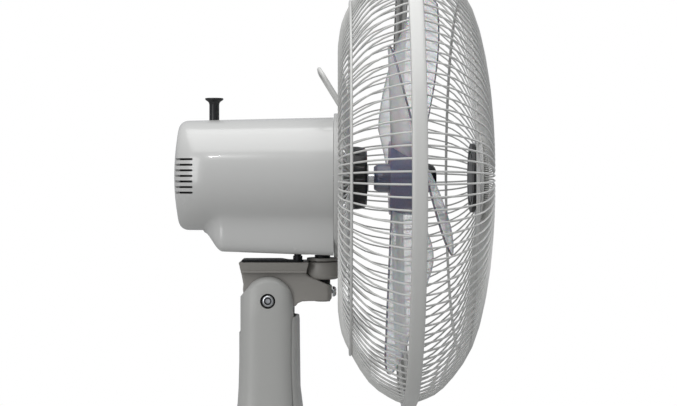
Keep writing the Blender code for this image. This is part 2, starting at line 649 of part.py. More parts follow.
def make_housing():
    """The glossy rear shell with its vent slots, and the flanged front cover with the threaded nose."""
    front = 0.0640
    housing = loft("motor_housing", housing_rings(0.0, -0.093, front), GREY_ABS)
    boolean(housing, bulge("housing_bulge", 0.0, front), "UNION")
    boolean(housing, loft("housing_hollow", housing_rings(0.0028, -0.0902, front + 0.010)))
    boolean(housing, bulge("bulge_hollow", 0.0028, front + 0.010))
    for i in range(7):
        z = AXIS_Z + 0.0180 - 0.00533 * i
        for side, where in ((-1, "left"), (1, "right")):
            low = (min(side * 0.034, side * 0.070), 0.0712, z - 0.0010)
            high = (max(side * 0.034, side * 0.070), 0.0990, z + 0.0010)
            boolean(housing, block(f"vent_{where}_{i + 1}", low, high))
    stem_hole = turned("stem_hole", rod_profile(0.0053, AXIS_Z + 0.09, AXIS_Z + 0.03), steps=20,
                       at=(WHEEL_X, -WORM_FORWARD, 0))
    boolean(housing, stem_hole)
    socket = turned("swivel_socket", rod_profile(0.0083, AXIS_Z - 0.06, AXIS_Z - 0.09), steps=24,
                    at=(0, -SWIVEL_FORWARD, 0))
    boolean(housing, socket)
    boolean(housing, swing_slot())
    attach(smooth(housing, 35), SWIVEL)

    outline = []
    for x, z in rounded(0.0640, 0.0640, 2.1, 40):
        reach = min(1.0, max(0.0, -z - 0.030) / 0.030)
        outline.append((x, z - 0.0145 * reach))
    cover = plate("housing_front_cover", [(x, z) for x, z in outline], 0.0038, GREY_ABS, facing="Z")
    forward_frame(cover)
    cover.location = (0, -(front + GAP + 0.0038), AXIS_Z)
    nose = [(0, 0.0985), (0.0142, 0.0985), (0.0142, 0.0787), (0.0240, 0.0787), (0.0240, 0.0700), (0, 0.0700)]
    boolean(cover, turned("cover_nose", nose, forward=True), "UNION")
    boolean(cover, turned("cover_bore", rod_profile(0.0090, 0.11, 0.05), steps=24, forward=True))
    attach(smooth(cover, 35), SWIVEL)


def swing_slot():
    """The curved slot in the keel's floor for the anchor stud, an arc round the swivel axis."""
    reach = Vector((ANCHOR_X, SWIVEL_FORWARD - ANCHOR_FORWARD))
    middle = math.degrees(math.atan2(reach.y, reach.x))
    radius = reach.length
    centre = (0, -SWIVEL_FORWARD)
    outline = arc(centre, radius + 0.0065, middle - 55, middle + 55, 14)
    outline += arc(centre, radius - 0.0065, middle + 55, middle - 55, 14)
    cutter = plate("swing_slot", outline, 0.012, facing="Z")
    cutter.location = (0, 0, AXIS_Z - 0.075)
    return cutter


# ------------------------------------------------------------------ motor and oscillation gears

def make_motor():
    """A shaded induction motor between two cast shields, with its shaft in two bearings."""
    def part(name, profile, material, parent, ring=True, steps=16):
        return attach(smooth(turned(name, profile, material, steps=steps, ring=ring, forward=True)), parent)

    part("stator_core", tube_profile(CORE_RADIUS, 0.0226, CORE_FRONT, CORE_REAR), LAMINATION, SWIVEL)
    for name, low, high in (("winding_front", CORE_FRONT + GAP, 0.0345), ("winding_rear", -0.0145, CORE_REAR - GAP)):
        middle = (low + high) / 2
        coil = [(0.0330, high), (0.0355, middle), (0.0330, low), (0.0265, low), (0.0240, middle), (0.0265, high)]
        part(name, coil, COPPER, SWIVEL)
    bore = 0.0083
    front_shield = [(bore, 0.0460), (0.0130, 0.0460), (0.0130, 0.0395), (0.0415, 0.0370),
                    (0.0415, 0.0120), (CORE_RADIUS + GAP, 0.0120), (CORE_RADIUS + GAP, 0.0355), (bore, 0.0365)]
    part("front_shield", front_shield, ALUMINIUM, SWIVEL)
    rear_shield = [(bore, -0.0165), (CORE_RADIUS + GAP, -0.0155), (CORE_RADIUS + GAP, 0.0080), (0.0415, 0.0080),
                   (0.0415, -0.0170), (0.0130, -0.0195), (0.0130, -0.0260), (bore, -0.0260)]
    part("rear_shield", rear_shield, ALUMINIUM, SWIVEL)
    part("front_bearing", tube_profile(0.0080, SHAFT_RADIUS + GAP, 0.0450, 0.0390), BRASS, SWIVEL)
    part("rear_bearing", tube_profile(0.0080, SHAFT_RADIUS + GAP, -0.0190, -0.0250), BRASS, SWIVEL)
    part("rotor_core", tube_profile(0.0220, SHAFT_RADIUS + GAP, CORE_FRONT, CORE_REAR), LAMINATION, SPIN)
    part("motor_shaft", rod_profile(SHAFT_RADIUS, SHAFT_FRONT, SHAFT_REAR, 0.0006), BRIGHT_STEEL, SPIN, False, 12)
    worm = [(SHAFT_RADIUS + GAP, -0.0480), (0.0050, -0.0480)]
    for i in range(3):
        start = -0.0490 - 0.0052 * i
        worm += [(0.0065, start - 0.0010), (0.0065, start - 0.0024), (0.0050, start - 0.0034)]
    worm += [(0.0050, -0.0650), (SHAFT_RADIUS + GAP, -0.0650)]
    part("worm", worm, BRASS, SPIN, steps=12)


def gear_outline(tip, root, teeth):
    outline = []
    for i in range(teeth):
        for share, radius in ((-0.28, root), (-0.14, tip), (0.14, tip), (0.28, root)):
            angle = 2 * math.pi * (i + share) / teeth
            outline.append((radius * math.cos(angle), radius * math.sin(angle)))
    return outline


def make_gears():
    """Worm wheel and pinion on one upright shaft, the crank gear beside it, their case and the clutch knob."""
    wheel_at = (WHEEL_X, -WORM_FORWARD)
    crank_at = (CRANK_X, -CRANK_FORWARD)
    reach = (Vector(wheel_at) - Vector(crank_at)).length
    wheel_axis = pivot("wheel_axis", (*wheel_at, AXIS_Z), SWIVEL)
    wheel = plate("worm_wheel", gear_outline(0.0110, 0.0095, 14), 0.0035, NYLON, facing="Z")
    wheel.location = (*wheel_at, AXIS_Z)
    boolean(wheel, turned("wheel_shaft", rod_profile(0.0030, AXIS_Z + 0.020, AXIS_Z - 0.0455), steps=16,
                          at=(*wheel_at, 0)), "UNION")
    boolean(wheel, turned("wheel_pinion", rod_profile(0.0048, AXIS_Z - 0.0410, AXIS_Z - 0.0455), steps=12,
                          at=(*wheel_at, 0)), "UNION")
    attach(wheel, wheel_axis)

    crank_axis = pivot("crank_axis", (*crank_at, AXIS_Z - 0.046), SWIVEL)
    tip = reach - 0.0048 - 0.0006
    crank = plate("crank_gear", gear_outline(tip, tip - 0.0018, 24), 0.0016, NYLON, facing="Z")
    crank.location = (*crank_at, AXIS_Z - 0.0437)
    angle = math.radians(CRANK_PIN_DEG)
    pin_at = (crank_at[0] + CRANK_PIN_RADIUS * math.cos(angle), crank_at[1] + CRANK_PIN_RADIUS * math.sin(angle))
    boolean(crank, turned("crank_pin", rod_profile(0.0026, AXIS_Z - 0.0440, LINK_TOP + TRAVEL_GAP), steps=12,
                          at=(*pin_at, 0)), "UNION")
    attach(crank, crank_axis)

    case = block("gearbox_case", (-0.0130, 0.0385, AXIS_Z - 0.0170), (0.0330, 0.0735, AXIS_Z + 0.0150), ALUMINIUM,
                 edge=0.002, segments=1)
    boolean(case, block("case_hollow", (-0.0105, 0.0410, AXIS_Z - 0.0145), (0.0305, 0.0710, AXIS_Z + 0.030)))
    boolean(case, turned("case_shaft_hole", rod_profile(0.0046, 0.0, -0.080), steps=16, forward=True))
    boolean(case, turned("case_wheel_hole", rod_profile(0.0034, AXIS_Z, AXIS_Z - 0.03), steps=16, at=(*wheel_at, 0)))
    attach(case, SWIVEL)
    lid = block("gearbox_lid", (-0.0130, 0.0385, AXIS_Z + 0.0153), (0.0330, 0.0735, AXIS_Z + 0.0183), ALUMINIUM,
                edge=0.001, segments=1)
    boolean(lid, turned("lid_wheel_hole", rod_profile(0.0034, AXIS_Z + 0.03, AXIS_Z), steps=16, at=(*wheel_at, 0)))
    attach(lid, SWIVEL)

    knob_axis = pivot("knob_axis", (*wheel_at, AXIS_Z + 0.080), SWIVEL)
    knob = [(0, 0.0795), (0.0070, 0.0797), (0.0088, 0.0805), (0.0092, 0.0795), (0.0086, 0.0775), (0.0055, 0.0765),
            (0.0050, 0.0740), (0.0050, 0.0285), (0, 0.0285)]
    knob = turned("oscillation_knob", [(r, AXIS_Z + h) for r, h in knob], BLACK_PLASTIC, steps=16, at=(*wheel_at, 0))
    attach(smooth(knob), knob_axis)

    top = BRACKET_TOP
    pin = [(0, top + 0.0185), (0.0105, top + 0.0185), (0.0105, top + 0.0130), (0.0077, top + 0.0130),
           (0.0077, TILT_Z - 0.0020), (0, TILT_Z - 0.0020)]
    pin = turned("swivel_pin", pin, ALUMINIUM, at=(0, -SWIVEL_FORWARD, 0), steps=24)
    attach(smooth(pin), SWIVEL)


# ------------------------------------------------------------------ guards, band and badge

REAR_PROFILE = [(0.0350, 0.0800), (0.0900, 0.0765), (0.1180, 0.0690), (0.1560, 0.0745), (0.2000, 0.0990),
                (0.2190, 0.1335)]
FRONT_PROFILE = [(0.0440, 0.2150), (0.0620, 0.2180), (0.1180, 0.2110), (0.1700, 0.1930), (0.2060, 0.1670),
                 (0.2190, 0.1400)]


def guard(name, profile, material):
    """A cage of radial wires and hoops: the edges of a turned surface given thickness by a Wireframe modifier."""
    obj = turned(name, profile, material, steps=GUARD_WIRES, forward=True)
    frame = obj.modifiers.new("wires", "WIREFRAME")
    frame.thickness = 0.0030
    frame.use_boundary = True
    frame.use_replace = True
    frame.use_even_offset = True
    return attach(obj, SWIVEL)


def make_guards():
    rear = guard("rear_guard", REAR_PROFILE, GREY_STEEL)
    boolean(rear, turned("rear_guard_plate", tube_profile(0.0360, 0.0146, 0.0812, 0.0792), ring=True, forward=True),
            "UNION")
    guard("front_guard", FRONT_PROFILE[::-1], GREY_STEEL)
    band = tube_profile(GUARD_RADIUS, 0.2225, 0.1435, 0.1300)
    band = turned("guard_band", band, GREY_STEEL, steps=40, ring=True, forward=True)
    lug = block("band_lug", (-0.0060, -0.1425, AXIS_Z - 0.2310), (0.0060, -0.1310, AXIS_Z - 0.2235), edge=0.0008)
    boolean(band, lug, "UNION")
    hole = turned("band_screw_hole", rod_profile(0.0018, 0.02, -0.02), steps=12)
    hole.rotation_euler = (0, math.radians(90), 0)
    hole.location = (0, -0.1367, AXIS_Z - 0.2282)
    boolean(band, hole)
    attach(smooth(band), SWIVEL)
    screw = [(0, 0.0090), (0.0026, 0.0086), (0.0030, 0.0064), (0.0015, 0.0064), (0.0015, -0.0080), (0, -0.0080)]
    screw = turned("band_screw", screw, BRIGHT_STEEL, steps=12)
    screw.rotation_euler = (0, math.radians(-90), 0)
    screw.location = (0, -0.1367, AXIS_Z - 0.2282)
    attach(smooth(screw), SWIVEL)

    handle = [(side * 0.036, -forward, AXIS_Z + z) for side, forward, z in
              ((-1, 0.0700, 0.070), (-1, 0.0530, 0.100), (-0.9, 0.0508, 0.104), (-0.7, 0.0500, 0.106),
               (0.7, 0.0500, 0.106), (0.9, 0.0508, 0.104), (1, 0.0530, 0.100), (1, 0.0700, 0.070))]
    attach(smooth(wire("carry_handle", handle, 0.0022, GREY_STEEL, 1)), SWIVEL)

    nut = [(0.0146, 0.0970), (0.0270, 0.0970), (0.0300, 0.0945), (0.0312, 0.0870), (0.0312, 0.0820),
           (0.0146, 0.0820)]
    attach(smooth(turned("guard_nut", nut, BLACK_PLASTIC, ring=True, forward=True)), SWIVEL)

    back = [(0, 0.2045), (0.0300, 0.2045), (0.0340, 0.2030), (0.0340, 0.2010), (0, 0.1995)]
    attach(smooth(turned("badge_back", back, BLACK_PLASTIC, forward=True)), SWIVEL)
    badge = [(0, 0.2150), (0.0330, 0.2150), (0.0385, 0.2135), (0.0410, 0.2110), (0.0410, 0.2065), (0.0360, 0.2050),
             (0, 0.2050)]
    attach(smooth(turned("badge", badge, GREY_ABS, forward=True)), SWIVEL)


# ------------------------------------------------------------------ blade

def blade_point(radius, share):
    """A point of the first blade: share runs from the trailing edge (0) to the leading edge (1)."""
    fade = math.exp(-(radius - 0.035) / 0.040)
    trailing_deg = -24 + 44 * fade
    leading_deg = 42 + 18 * fade
    angle = math.radians(trailing_deg + (leading_deg - trailing_deg) * share)
    rise = (radius - 0.033) / (BLADE_RADIUS - 0.033)
    front = 0.152 + 0.020 * math.sin(min(1.0, rise * 1.25) * math.pi / 2) - 0.006 * rise ** 4
    rear = 0.121 - 0.008 * rise
    forward = rear + (front - rear) * (1 - share) ** 1.25
    # The near side of the fan is -X, and the blade's angle runs from there up.
    return (-radius * math.cos(angle), radius * math.sin(angle), forward)


def make_blade():
    """A moulded hub with three wide, cambered blades. It turns clockwise as seen from the front."""
    hub = [(SHAFT_RADIUS + GAP, 0.1495), (0.0330, 0.1475), (0.0365, 0.1430), (0.0365, 0.1190), (0.0335, 0.1190),
           (0.0335, 0.1430), (0.0120, 0.1455), (0.0120, 0.1060), (0.0105, 0.1040), (SHAFT_RADIUS + GAP, 0.1040)]
    fan = turned("fan_blade", hub, BLADE_PLASTIC, steps=24, ring=True, forward=True)
    along, across = 6, 6
    for number in range(BLADE_COUNT):
        turn = 2 * math.pi * number / BLADE_COUNT
        mesh = bpy.data.meshes.new(f"blade_{number + 1}")
        bm = bmesh.new()
        bmesh.ops.create_grid(bm, x_segments=along, y_segments=across, size=0.5)
        for vert in bm.verts:
            share = vert.co.y + 0.5
            corner = abs(2 * share - 1) ** 5
            reach = 0.031 + (BLADE_RADIUS - 0.031 - 0.020 * corner) * (vert.co.x + 0.5)
            x, z, forward = blade_point(reach, share)
            vert.co = (x * math.cos(turn) + z * math.sin(turn), z * math.cos(turn) - x * math.sin(turn), forward)
        bm.to_mesh(mesh)
        bm.free()
        blade = forward_frame(place(f"blade_{number + 1}", mesh))
        wall = blade.modifiers.new("wall", "SOLIDIFY")
        wall.thickness = 0.0022
        wall.offset = 0.0
        boolean(fan, blade, "UNION")
    attach(smooth(fan, 50), SPIN)

    nut = [(0, 0.1660), (0.0080, 0.1655), (0.0125, 0.1620), (0.0145, 0.1560), (0.0150, 0.1498),
           (SHAFT_RADIUS + GAP, 0.1498), (SHAFT_RADIUS + GAP, 0.1590), (0, 0.1590)]
    attach(smooth(turned("spinner_nut", nut, BLACK_PLASTIC, steps=20, forward=True)), SPIN)


make_base()
make_pole()
make_control_box()
make_controls()
make_neck()
make_bracket()
make_link()
make_housing()
make_motor()
make_gears()
make_guards()
make_blade()
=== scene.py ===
"""The looks of a pedestal fan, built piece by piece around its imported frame.

Metres, +Z up, the fan blows towards -Y. "Forward" is the distance from the pole's axis towards -Y.
"""

import math

import bpy
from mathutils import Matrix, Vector


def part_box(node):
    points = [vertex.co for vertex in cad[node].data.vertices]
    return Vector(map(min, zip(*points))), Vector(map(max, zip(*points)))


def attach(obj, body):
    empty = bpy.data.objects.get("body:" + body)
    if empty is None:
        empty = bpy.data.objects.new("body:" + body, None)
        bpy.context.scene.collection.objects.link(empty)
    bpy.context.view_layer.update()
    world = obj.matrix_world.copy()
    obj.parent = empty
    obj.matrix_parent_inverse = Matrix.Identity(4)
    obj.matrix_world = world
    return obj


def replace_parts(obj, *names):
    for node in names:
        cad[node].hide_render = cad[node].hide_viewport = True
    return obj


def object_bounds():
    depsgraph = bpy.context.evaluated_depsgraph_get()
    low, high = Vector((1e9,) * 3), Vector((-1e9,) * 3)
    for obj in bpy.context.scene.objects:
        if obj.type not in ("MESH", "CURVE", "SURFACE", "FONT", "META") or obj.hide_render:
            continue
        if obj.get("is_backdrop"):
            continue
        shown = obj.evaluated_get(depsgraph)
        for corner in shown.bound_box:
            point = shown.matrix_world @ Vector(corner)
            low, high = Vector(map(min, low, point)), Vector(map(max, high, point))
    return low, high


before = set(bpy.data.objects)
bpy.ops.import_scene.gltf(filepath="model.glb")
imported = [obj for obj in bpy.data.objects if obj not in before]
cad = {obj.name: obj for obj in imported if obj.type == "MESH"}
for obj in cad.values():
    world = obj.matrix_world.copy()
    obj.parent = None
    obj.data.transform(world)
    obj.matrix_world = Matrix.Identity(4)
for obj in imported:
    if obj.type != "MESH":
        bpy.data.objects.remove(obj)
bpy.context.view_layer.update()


# ---------------------------------------------------------------- the room: floor, soft lights, camera
# A pale floor in a white room. A wide softbox overhead and two upright strips, one to the rear and one in front, give
# the glossy parts long soft streaks, and a small lamp adds a point of light. The camera looks square at the side.

def linear(hex_colour):
    """An sRGB hex colour as the linear RGBA that a shader socket takes."""
    channels = [int(hex_colour[i:i + 2], 16) / 255 for i in (1, 3, 5)]
    return (*[c / 12.92 if c <= 0.04045 else ((c + 0.055) / 1.055) ** 2.4 for c in channels], 1.0)


def add_node(tree, kind, links=None, **values):
    """Adds a node: lower-case values are its settings, the others its sockets, and links join outputs to sockets."""
    node = tree.nodes.new("ShaderNode" + kind)
    for name, value in values.items():
        if name[0].islower():
            setattr(node, name, value)
        else:
            node.inputs[name.replace("_", " ")].default_value = value
    for socket, source in (links or {}).items():
        tree.links.new(source, node.inputs[socket])
    return node


def new_material(name, colour, **values):
    """A Principled material. Returns it with its tree and its shader."""
    material = bpy.data.materials.new(name)
    material.use_nodes = True
    shader = material.node_tree.nodes["Principled BSDF"]
    shader.inputs["Base Color"].default_value = linear(colour)
    for socket, value in values.items():
        shader.inputs[socket.replace("_", " ")].default_value = value
    return material, material.node_tree, shader


def alone():
    """Clears the selection, which every operator acts on."""
    if bpy.context.object and bpy.context.object.mode != "OBJECT":
        bpy.ops.object.mode_set(mode="OBJECT")
    bpy.ops.object.select_all(action="DESELECT")


alone()
bpy.context.scene.view_settings.view_transform = "Standard"

paper, tree, shader = new_material("seamless_paper", "#B4B4B3", Roughness=0.9)
fibre = add_node(tree, "TexNoise", Scale=900.0, Detail=3.0)
fibre_relief = add_node(tree, "Bump", {"Height": fibre.outputs["Fac"]}, Strength=0.15, Distance=0.0004)
tree.links.new(fibre_relief.outputs["Normal"], shader.inputs["Normal"])

bpy.ops.mesh.primitive_circle_add(vertices=96, radius=3.2, fill_type="NGON", location=(0, 0, -0.0005))
floor = bpy.context.object
floor.name = "floor"
floor.data.materials.append(paper)
floor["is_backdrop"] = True

world = bpy.data.worlds.new("white room")
bpy.context.scene.world = world
world.use_nodes = True
room = world.node_tree
room.nodes.clear()
ray = add_node(room, "LightPath")
seen = add_node(room, "Math", {0: ray.outputs["Is Camera Ray"], 1: ray.outputs["Is Transmission Ray"]},
                operation="MAXIMUM")
wall_light = add_node(room, "Background", Color=linear("#F4F6FA"), Strength=0.47)
backdrop = add_node(room, "Background", Color=linear("#FFFFFF"), Strength=1.0)
either = add_node(room, "MixShader", {0: seen.outputs[0], 1: wall_light.outputs[0], 2: backdrop.outputs[0]})
add_node(room, "OutputWorld", {"Surface": either.outputs[0]})


def add_softbox(name, size, power, at, target, colour="#FFFFFF"):
    lamp = bpy.data.lights.new(name, "AREA")
    lamp.shape = "RECTANGLE"
    lamp.size, lamp.size_y = size
    lamp.energy = power
    lamp.color = linear(colour)[:3]
    softbox = bpy.data.objects.new(name, lamp)
    bpy.context.scene.collection.objects.link(softbox)
    softbox.location = at
    softbox.rotation_mode = "QUATERNION"
    softbox.rotation_quaternion = (Vector(at) - Vector(target)).to_track_quat("Z", "Y")
    return softbox


AXIS_Z = 0.900
add_softbox("overhead_softbox", (2.2, 2.6), 42.0, (-0.5, 0.1, 2.9), (0, 0, AXIS_Z), "#FFFFFF")
add_softbox("side_strip", (0.9, 2.0), 21.0, (-2.3, 1.6, 1.4), (0, 0, AXIS_Z))
add_softbox("front_strip", (0.5, 2.0), 14.0, (1.5, -2.5, 1.5), (0, 0, AXIS_Z))
add_softbox("small_key", (0.03, 0.03), 0.7, (-1.30, 0.26, 1.77), (0, 0.05, AXIS_Z))

VIEW_DISTANCE = 1.355
camera_data = bpy.data.cameras.new("camera")
camera_data.sensor_width = 36.0
camera_data.lens = 72.6
camera_data.shift_y = -0.0369
camera = bpy.data.objects.new("camera", camera_data)
bpy.context.scene.collection.objects.link(camera)
camera.location = (-VIEW_DISTANCE, -0.0689, AXIS_Z)
camera.rotation_euler = (math.radians(90), 0, math.radians(-90))
bpy.context.scene.camera = camera


# ---------------------------------------------------------------- base
# A disc of cast iron gives the fan its weight. A satin ABS cover is moulded over it, four rubber feet carry it, and
# a hand nut from below clamps both to the foot of the outer tube.

def turn(name, rings, sides=96, hollow=False, smooth_deg=32):
    """A turned shape along +Z: a circle, extruded and scaled from ring to ring of (radius, height).

    A hollow one has no end discs: its last ring is bridged to its first, as on a tube.
    """
    alone()
    fill = "NOTHING" if hollow else "NGON"
    bpy.ops.mesh.primitive_circle_add(vertices=sides, radius=rings[0][0], fill_type=fill,
                                      location=(0, 0, rings[0][1]))
    piece = bpy.context.object
    piece.name = name
    piece.data.name = name
    bpy.ops.object.transform_apply(location=True)
    bpy.ops.object.mode_set(mode="EDIT")
    bpy.ops.mesh.select_all(action="SELECT")
    for (radius, height), (next_radius, next_height) in zip(rings, rings[1:]):
        bpy.ops.mesh.extrude_region_move(TRANSFORM_OT_translate={"value": (0, 0, next_height - height)})
        scale = next_radius / radius
        bpy.ops.transform.resize(value=(scale, scale, 1))
    if hollow:
        bpy.ops.mesh.select_all(action="DESELECT")
        bpy.ops.mesh.select_non_manifold()
        bpy.ops.mesh.bridge_edge_loops()
    return smoothed(piece, smooth_deg)


def rod(radius, depth, at, along="Z", sides=32):
    """A cylinder about a point, along Z, X or Y."""
    turns = {"Z": (0, 0, 0), "X": (0, math.radians(90), 0), "Y": (math.radians(90), 0, 0)}
    bpy.ops.mesh.primitive_cylinder_add(vertices=sides, radius=radius, depth=depth, location=at,
                                        rotation=turns[along])
    return bpy.context.object


def ring_of_rods(count, radius, depth, reach, height, sides):
    """Rods along Z, evenly spaced round the Z axis."""
    angles = [2 * math.pi * i / count for i in range(count)]
    return [rod(radius, depth, (reach * math.cos(angle), reach * math.sin(angle), height), "Z", sides)
            for angle in angles]


def only(piece):
    """Makes the piece the one that operators act on."""
    alone()
    piece.select_set(True)
    bpy.context.view_layer.objects.active = piece


def smoothed(piece, degrees=32):
    """Points the faces outwards and shades them smooth, except over edges sharper than the angle."""
    only(piece)
    bpy.ops.object.mode_set(mode="EDIT")
    bpy.ops.mesh.select_all(action="SELECT")
    bpy.ops.mesh.normals_make_consistent(inside=False)
    bpy.ops.object.mode_set(mode="OBJECT")
    bpy.ops.object.shade_smooth_by_angle(angle=math.radians(degrees))
    return piece


def lay(piece, turn_deg=(0, 0, 0), at=(0, 0, 0)):
    """Turns and moves a piece, and leaves its object at the origin."""
    only(piece)
    piece.rotation_euler = [math.radians(angle) for angle in turn_deg]
    piece.location = at
    bpy.ops.object.transform_apply(location=True, rotation=True, scale=True)
    return piece


def apply_to(piece, kind, **settings):
    """Adds a modifier with its settings and applies it."""
    only(piece)
    modifier = piece.modifiers.new(kind.lower(), kind)
    for name, value in settings.items():
        setattr(modifier, name, value)
    bpy.ops.object.modifier_apply(modifier=modifier.name)
    return piece


def cut(piece, *cutters):
    """Takes the cutters away from the piece."""
    for cutter in cutters:
        apply_to(piece, "BOOLEAN", operation="DIFFERENCE", solver="EXACT", object=cutter)
        bpy.data.objects.remove(cutter, do_unlink=True)
    return piece


def joined(name, *parts):
    """Joins parts into one piece, its object at the origin."""
    alone()
    for part in parts:
        part.select_set(True)
    bpy.context.view_layer.objects.active = parts[0]
    bpy.ops.object.transform_apply(location=True, rotation=True, scale=True)
    if len(parts) > 1:
        bpy.ops.object.join()
    parts[0].name = name
    parts[0].data.name = name
    return parts[0]


def painted(piece, *materials):
    piece.data.materials.clear()
    for material in materials:
        piece.data.materials.append(material)
    return piece


def fitted(piece, body, nodes, finish_slot, *materials):
    """Paints a piece, hangs it on its body, and lets it stand for CAD nodes."""
    painted(piece, *materials)
    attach(piece, body)
    if nodes:
        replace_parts(piece, *nodes)
    return piece


def grain(tree, shader, scale_mm, strength, depth_mm, rough=None, detail=3.0):
    """Relief from fine noise with a grain of that size, and with rough, a roughness that wanders between two."""
    noise = add_node(tree, "TexNoise", {"Vector": add_node(tree, "TexCoord").outputs["Object"]},
                     Scale=1000.0 / scale_mm, Detail=detail, Roughness=0.55)
    relief = add_node(tree, "Bump", {"Height": noise.outputs["Fac"]}, Strength=strength, Distance=depth_mm / 1000)
    tree.links.new(relief.outputs["Normal"], shader.inputs["Normal"])
    if rough:
        broad = add_node(tree, "TexNoise", {"Vector": add_node(tree, "TexCoord").outputs["Object"]},
                         Scale=18.0, Detail=4.0)
        spread = add_node(tree, "MapRange", {"Value": broad.outputs["Fac"]}, From_Min=0.3, From_Max=0.7,
                          To_Min=rough[0], To_Max=rough[1])
        tree.links.new(spread.outputs["Result"], shader.inputs["Roughness"])
    return relief


# Moulded ABS with the fine sparked texture of its mould, which keeps highlights broad and soft.
satin_abs, tree, shader = new_material("satin_grey_abs", "#A8A8A5", Roughness=0.38, IOR=1.53,
                                       Specular_IOR_Level=0.5)
grain(tree, shader, 0.8, 0.10, 0.05, (0.33, 0.44))

cover_low, cover_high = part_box("base_cover")
BASE_RADIUS = cover_high.x
COVER_FOOT = cover_low.z
tube_low, tube_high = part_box("outer_tube")
TUBE_RADIUS = tube_high.x
cover_outer = [(BASE_RADIUS, COVER_FOOT), (BASE_RADIUS, 0.0110), (BASE_RADIUS - 0.0006, 0.0132),
               (BASE_RADIUS - 0.0026, 0.0162), (BASE_RADIUS - 0.0060, 0.0186), (BASE_RADIUS - 0.0110, 0.0202),
               (BASE_RADIUS - 0.0124, 0.0197), (BASE_RADIUS - 0.0140, 0.0206), (0.175, 0.0248), (0.150, 0.0294),
               (0.125, 0.0333), (0.100, 0.0364), (0.075, 0.0389), (0.055, 0.0406), (0.0405, 0.0418),
               (0.0400, 0.0430), (TUBE_RADIUS + 0.0004, 0.0430)]
cover_inner = [(TUBE_RADIUS + 0.0004, 0.0380), (0.060, 0.0372), (0.140, 0.0270), (BASE_RADIUS - 0.0090, 0.0165),
               (BASE_RADIUS - 0.0030, 0.0125), (BASE_RADIUS - 0.0030, COVER_FOOT)]
cover = turn("base_cover_dome", cover_outer + cover_inner, sides=160, hollow=True)
fitted(cover, "base", ["base_cover"], "grey_plastic", satin_abs)

# Grey iron, sand-cast and dipped black: a coarse, dull skin.
dipped_iron, tree, shader = new_material("dipped_cast_iron", "#232323", Roughness=0.72, Metallic=0.35)
grain(tree, shader, 1.4, 0.55, 0.35, (0.62, 0.85))
weight = turn("base_weight_disc", [(0.0160, 0.0085), (0.1690, 0.0085), (0.1700, 0.0095), (0.1700, 0.0125),
                                   (0.1690, 0.0135), (0.0160, 0.0135)], sides=96, hollow=True)
fitted(weight, "base", ["base_weight"], "cast_iron", dipped_iron)

# Moulded polypropylene, dyed black: nearly smooth, with a low sheen.
black_plastic, tree, shader = new_material("black_moulded_plastic", "#121315", Roughness=0.36, IOR=1.49)
grain(tree, shader, 0.7, 0.12, 0.05, (0.30, 0.44))
hand_nut = turn("base_hand_nut_disc", [(0.0225, 0.0052), (0.0238, 0.0058), (0.0238, 0.0076), (0.0230, 0.0082)],
                sides=64)
cut(hand_nut, joined("hand_nut_notches", *ring_of_rods(12, 0.0022, 0.02, 0.0246, 0.006, 12)))
fitted(hand_nut, "base", ["base_hand_nut"], "black_plastic", black_plastic)

# Moulded rubber: matt and faintly mottled.
foot_rubber, tree, shader = new_material("foot_rubber", "#1E1D1C", Roughness=0.82, IOR=1.5)
grain(tree, shader, 1.0, 0.3, 0.15)
for number in range(1, 5):
    low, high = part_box(f"base_foot_{number}")
    foot = turn(f"base_foot_pad_{number}", [(0.0100, 0.0), (0.0112, 0.0003), (0.0119, 0.0011), (0.0120, 0.0060),
                                           (0.0112, 0.0082)], sides=40)
    lay(foot, at=((low.x + high.x) / 2, (low.y + high.y) / 2, 0))
    fitted(foot, "base", [f"base_foot_{number}"], "rubber", foot_rubber)


# ---------------------------------------------------------------- pole, height collar and its knob
# Two welded steel tubes, the outer enamelled like the guard, the inner chromed, telescope through an ABS collar. A
# winged knob with a steel-cored stem presses on the inner tube to hold the height.

def round_edges(piece, width, segments=3, degrees=30):
    """Rounds every edge sharper than the angle."""
    apply_to(piece, "BEVEL", width=width, segments=segments, limit_method="ANGLE",
             angle_limit=math.radians(degrees), use_clamp_overlap=True)
    return smoothed(piece, 45)


def fuse(piece, *others):
    """Makes one solid of the piece and the others."""
    for other in others:
        apply_to(piece, "BOOLEAN", operation="UNION", solver="EXACT", object=other)
        bpy.data.objects.remove(other, do_unlink=True)
    return piece


# Sprayed enamel over steel tube: smooth, with faint long waves in its highlight.
pole_enamel, tree, shader = new_material("pole_enamel", "#B4B2AC", Roughness=0.32, IOR=1.52, Coat_Weight=0.3,
                                         Coat_Roughness=0.15)
grain(tree, shader, 4.0, 0.08, 0.12)
outer_tube = turn("pole_outer_tube", [(TUBE_RADIUS, tube_low.z), (TUBE_RADIUS, tube_high.z - 0.0006),
                                      (TUBE_RADIUS - 0.0004, tube_high.z), (TUBE_RADIUS - 0.0014, tube_high.z),
                                      (TUBE_RADIUS - 0.0014, tube_low.z)], sides=64, hollow=True)
fitted(outer_tube, "base", ["outer_tube"], "grey_painted_steel", pole_enamel)

flange = turn("tube_flange_cone", [(0.0160, 0.0434), (0.0398, 0.0434), (0.0400, 0.0440), (0.0360, 0.0449),
                                   (0.0305, 0.0468), (0.0265, 0.0502), (0.0240, 0.0545), (0.0225, 0.0590),
                                   (0.0212, 0.0640), (0.0204, 0.0656), (0.0188, 0.0660), (0.0160, 0.0660)],
              sides=80, hollow=True)
fitted(flange, "base", ["tube_flange"], "grey_plastic", satin_abs)

